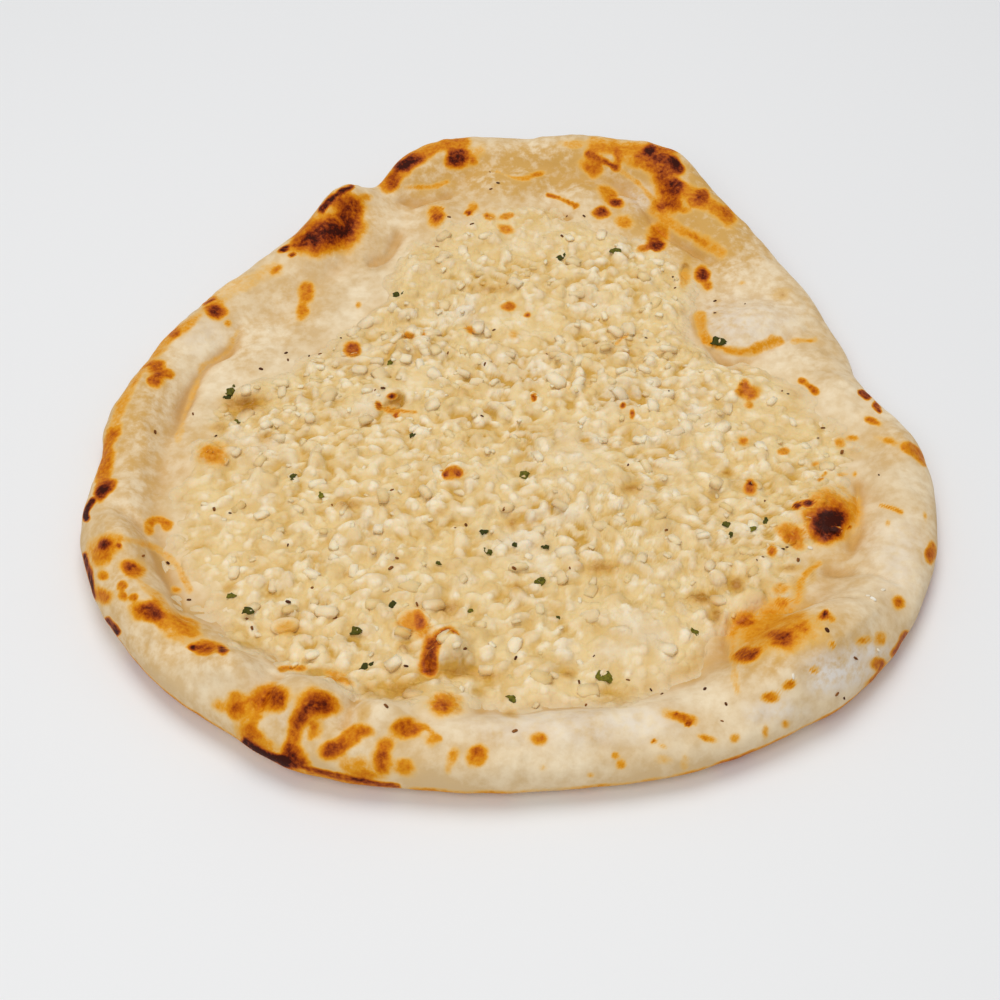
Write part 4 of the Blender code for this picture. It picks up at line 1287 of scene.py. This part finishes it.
def dough_material(scorch):
    """Baked dough: pale with warm blotches, darker and warmer on steep sides as painted shade, golden in its
    folds and hollows, partly baked colour and partly painted shade, browned where it is toasted.
    """
    material, tree, shader = new_material("baked_dough", DOUGH_PALE)
    blotches = ramp(tree, noise_at(tree, 16, 3.0), 0.35, 0.7)
    mottle = ramp(tree, noise_at(tree, 3.2, 3.0, 0.6), 0.3, 0.75)
    warm = plus(tree, times(tree, blotches, 0.75), times(tree, mottle, 0.45))
    # Steep sides are painted darker and warmer: painted shade where the surface turns away from the light
    # above
    warm = plus(tree, warm, times(tree, attribute(tree, "side"), 0.45), clamp=True)
    base = blend_colours(tree, warm, DOUGH_PALE, DOUGH_WARM)
    golden = ramp(tree, times(tree, attribute(tree, "golden"), plus(tree, mottle, 0.6)), 0, 1.2)
    base = blend_colours(tree, golden, base, DOUGH_GOLDEN)
    flour = times(tree, attribute(tree, "flour"), ramp(tree, noise_at(tree, 2.6, 3.0, 0.6), 0.25, 0.65))
    base = blend_colours(tree, flour, base, DOUGH_FLOURY)
    # Folds and hollows painted golden and darker: partly baked colour, partly painted shade
    base = blend_colours(tree, times(tree, attribute(tree, "fold"), 0.6), base, DOUGH_FOLD_GOLD_AND_SHADE)
    base = blend_colours(tree, times(tree, attribute(tree, "deep"), 0.8), base, DOUGH_FOLD_GOLD_AND_SHADE)
    base = blend_colours(tree, times(tree, attribute(tree, "blush"), 0.5), base, DOUGH_BLUSH)
    film = blend_colours(tree, ramp(tree, noise_at(tree, 6, 2.0), 0.3, 0.7), GARLIC_CREAM, GARLIC_GOLD)
    # Gaps in the garlic film painted golden: oil, and painted shade
    film = blend_colours(tree, attribute(tree, "deep"), film, GAP_OIL_AND_SHADE)
    base = blend_colours(tree, attribute(tree, "garlic"), base, film)
    show_marked(tree, shader, scorch, base)
    grain = plus(tree, noise_at(tree, 2.2, 3.0), times(tree, noise_at(tree, 0.7, 2.0), 0.45))
    bump(tree, shader, grain, 0.16)
    shader.inputs["Specular IOR Level"].default_value = 0.1
    return material


def garlic_material(scorch):
    """Soft buttery garlic: cream on its top, golden towards its foot, partly with oil and partly as painted
    shade.
    """
    material, tree, shader = new_material("buttered_garlic", GARLIC_CREAM)
    coordinates = put(tree, "ShaderNodeTexCoord").outputs["Object"]
    cells = put(tree, "ShaderNodeTexVoronoi", None, Vector=coordinates, Scale=1 / (CRUMB_CELL * MM))
    # Crumb borders are grooved by the bump and painted golden: painted shade in the grooves
    crumbs = times(tree, ramp(tree, cells.outputs["Distance"], 0.3, 0.68), attribute(tree, "melted"))
    # By height, tops painted cream and feet golden: painted light and shade, with oil at the foot
    lit = maths(tree, "SUBTRACT", ramp(tree, attribute(tree, "rise"), 0.1, 0.85), times(tree, crumbs, 0.5),
                clamp=True)
    cream = blend_colours(tree, ramp(tree, attribute(tree, "tone"), 0.35, 1.0), GARLIC_CREAM, GARLIC_GOLD)
    base = blend_colours(tree, lit, GARLIC_GOLD, cream)
    base = blend_colours(tree, ramp(tree, noise_at(tree, 17, 2.0), 0.52, 0.8, 0.0, 0.6), base, GARLIC_PALE)
    buttery = ramp(tree, noise_at(tree, 7.5, 2.5), 0.4, 0.62)
    # Hollows and folds among the garlic painted golden with oil and as painted shade; buttery patches add oil
    # alone
    low = plus(tree, attribute(tree, "deep"), times(tree, attribute(tree, "fold"), 0.7))
    low = times(tree, low, plus(tree, buttery, 0.5), clamp=True)
    low = plus(tree, low, times(tree, buttery, 0.34), clamp=True)
    base = blend_colours(tree, low, base, GAP_OIL_AND_SHADE)
    base = blend_colours(tree, ramp(tree, attribute(tree, "garlic"), 0.1, 0.75), DOUGH_MEAN, base)
    show_marked(tree, shader, scorch, base)
    bump(tree, shader, maths(tree, "SUBTRACT", noise_at(tree, 1.1, 2.0), times(tree, crumbs, 1.4)), 0.16)
    shader.inputs["Specular IOR Level"].default_value = 0.2
    shader.inputs["Subsurface Weight"].default_value = 0.2
    shader.inputs["Subsurface Radius"].default_value = (1.0, 0.6, 0.3)
    shader.inputs["Subsurface Scale"].default_value = 0.002
    return material


def speck_material(name, dark, light, wavelength, roughness):
    """Small dry things: two shades mixed by their own tone and a fine noise."""
    material, tree, shader = new_material(name, dark)
    mixed = times(tree, attribute(tree, "tone"), noise_at(tree, wavelength, 2.0))
    shade = blend_colours(tree, ramp(tree, mixed, 0.05, 0.6), dark, light)
    tree.links.new(shade, shader.inputs["Base Color"])
    bump(tree, shader, noise_at(tree, wavelength, 2.0), 0.08)
    shader.inputs["Roughness"].default_value = roughness
    shader.inputs["Specular IOR Level"].default_value = 0.2
    return material


def floor_material():
    material, tree, shader = new_material("pale_floor", (0.8, 0.8, 0.8, 1))
    shade = blend_colours(tree, noise_at(tree, 400, 1.0), colour(234, 235, 237), colour(238, 239, 240))
    tree.links.new(shade, shader.inputs["Base Color"])
    shader.inputs["Roughness"].default_value = 0.7
    return material


# Stage
def add_floor():
    deselect()
    bpy.ops.mesh.primitive_plane_add(size=FLOOR_SIDE)
    floor = bpy.context.object
    floor.name = "floor"
    floor.data.materials.append(floor_material())


def add_light(name, place, size, power, tint):
    """Round soft light that looks at the bread."""
    light = bpy.data.lights.new(name, "AREA")
    light.shape = "DISK"
    light.size = size
    light.energy = power
    light.color = tint
    lamp = bpy.data.objects.new(name, light)
    lamp.location = place
    lamp.rotation_euler = (-Vector(place)).to_track_quat("-Z", "Y").to_euler()
    bpy.context.scene.collection.objects.link(lamp)


def add_studio():
    """Soft broad light from above and behind, a weak one from the front, and a pale surrounding."""
    world = bpy.data.worlds.new("studio")
    world.use_nodes = True
    world.node_tree.nodes["Background"].inputs["Color"].default_value = SURROUNDING
    world.node_tree.nodes["Background"].inputs["Strength"].default_value = SURROUNDING_POWER
    bpy.context.scene.world = world
    add_light("window", *WINDOW)
    add_light("fill", *FILL)
    bpy.context.scene.view_settings.view_transform = "Standard"


def add_camera():
    lens = bpy.data.cameras.new("photo_view")
    lens.lens = CAMERA_LENS
    lens.sensor_width = CAMERA_SENSOR
    lens.clip_start = 0.01
    camera = bpy.data.objects.new("photo_view", lens)
    camera.location = CAMERA_PLACE
    camera.rotation_euler = CAMERA_TURN
    bpy.context.scene.collection.objects.link(camera)
    bpy.context.scene.camera = camera


def hand_over(piece, material):
    """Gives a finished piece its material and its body."""
    piece.data.materials.clear()
    piece.data.materials.append(material)
    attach(piece, "root")


def painted_map(marks, heights):
    """Map of the marks on this surface, painted on every fourth place."""
    x, y, z = (values[::MAP_SKIP, ::MAP_SKIP] for values in (MAP_X, MAP_Y, heights))
    points = np.stack((x - PLAN_MIDDLE[0], y - PLAN_MIDDLE[1], z), 2).reshape(-1, 3) * MM
    coarse = paint(marks, points, 1.0).reshape(x.shape)
    return read_map(coarse, MAP_X, MAP_Y)


def read_surface(piece, marks, near_level, wide_level):
    """Stores what the materials read: the marks, where the surface lies deep or folds, which the materials
    paint golden and darker as partly painted shade, and how steep it is, for painted shade on the sides.
    """
    points, normals = read_points(piece), read_normals(piece)
    facing = facing_camera(points, normals)
    x, y, z = (points / MM + (*PLAN_MIDDLE, 0)).T
    inside = outline(np.arctan2(y, x)) - np.hypot(x, y)
    upper = smooth_step(-0.2, 0.2, normals[:, 2])
    garlic = garlic_share(x, y) * upper
    toast_and_shade = paint(marks["toast_and_shade"], points, facing)
    if piece.name == "naan_bread":
        baked = 0.46 + 0.2 * rumple(x, y, 9, BAKED_NOISE) + 0.1 * rumple(x, y, 3, BAKED_NOISE + 1)
        toast_and_shade = np.maximum(toast_and_shade, baked * smooth_step(0.15, -0.25, normals[:, 2]))
    write_attribute(piece, "toast_and_shade", toast_and_shade)
    write_attribute(piece, "blush", paint(marks["toast_and_shade"], points, facing, BLUSH_SOFTNESS))
    write_attribute(piece, "golden", paint(marks["golden"], points, 1.0, GOLDEN_SOFTNESS))
    write_attribute(piece, "flour", paint(marks["flour"], points, 1.0, GOLDEN_SOFTNESS))
    write_attribute(piece, "oil", paint(marks["oil"], points, 1.0, OIL_SOFTNESS) * upper)
    inner = smooth_step(3, 8, inside) * upper
    # deep and fold: lower than the mean around, which the materials paint golden, partly as painted shade
    write_attribute(piece, "deep", smooth_step(0.15, 1.5, read_map(near_level, x, y) - z) * inner)
    write_attribute(piece, "fold", smooth_step(0.4, 2.8, read_map(wide_level, x, y) - z) * inner)
    # side: how steeply the surface slopes, painted darker on the dough as painted shade
    write_attribute(piece, "side", smooth_step(0.8, 0.05, normals[:, 2]))
    write_attribute(piece, "garlic", garlic)


def build():
    """Makes every piece. All random draws come from one generator, in this order."""
    draw = random.Random(SEED)
    skin = skin_map()
    bread = bread_piece(skin)
    to_world(bread)
    bpy.context.view_layer.update()
    marks = read_marks(bread)

    bare = top(MAP_X, MAP_Y) + skin
    oil_map, smooth_map = painted_map(marks["oil"], bare), painted_map(marks["smooth"], bare)
    covered = np.maximum(oil_map, SMOOTH_CLEARS * smooth_map)
    cover, tones = melt_garlic(draw, bare, oil_map, smooth_map, bread)
    layer = garlic_layer(bare, cover)
    share = garlic_share(MAP_X, MAP_Y)
    ground = bare + (cover - bare) * share
    shapes = chopped_shapes(LOOSE_SHAPES, LOOSE_ROUNDNESS, LOOSE_UNEVEN, GARLIC_SHAPES_SEED)
    lie = ground, covered
    coarse = garlic_bits("minced_garlic", draw, shapes, LOOSE_COARSE, LOOSE_LENGTH, *lie)
    fine = garlic_bits("fine_garlic", draw, shapes[:LOOSE_FINE_SHAPES], LOOSE_FINE, FINE_LENGTH, *lie)
    finish_layer(layer, ground, tones)
    bpy.context.view_layer.update()

    slices = garlic_slices([bread, layer])
    levels = blur(ground, NEAR_SPREAD), blur(ground[::MAP_SKIP, ::MAP_SKIP], WIDE_SPREAD)
    surfaces = [bread, layer, coarse, fine, slices]
    for piece in surfaces:
        read_surface(piece, marks, *levels)

    scorch = scorch_group()
    dough, garlic = dough_material(scorch), garlic_material(scorch)
    hand_over(bread, dough)
    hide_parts("garlic_naan")
    for piece in surfaces[1:]:
        hand_over(piece, garlic)
    herbs = herb_flakes(draw, surfaces)
    hand_over(herbs, speck_material("dried_herb", colour(56, 58, 4), colour(122, 114, 24), 0.8, 0.7))
    specks = small_bits("char_specks", draw, SPECKS, SPECK_LENGTH, surfaces)
    hand_over(specks, speck_material("charred_speck", colour(72, 34, 6), colour(150, 92, 34), 0.6, 0.7))
    crumbs = small_bits("flour_crumbs", draw, CRUMBS, CRUMB_LENGTH, surfaces)
    hand_over(crumbs, speck_material("flour_crumb", colour(232, 220, 196), colour(244, 238, 224), 0.8, 0.8))


build()
add_floor()
add_studio()
add_camera()
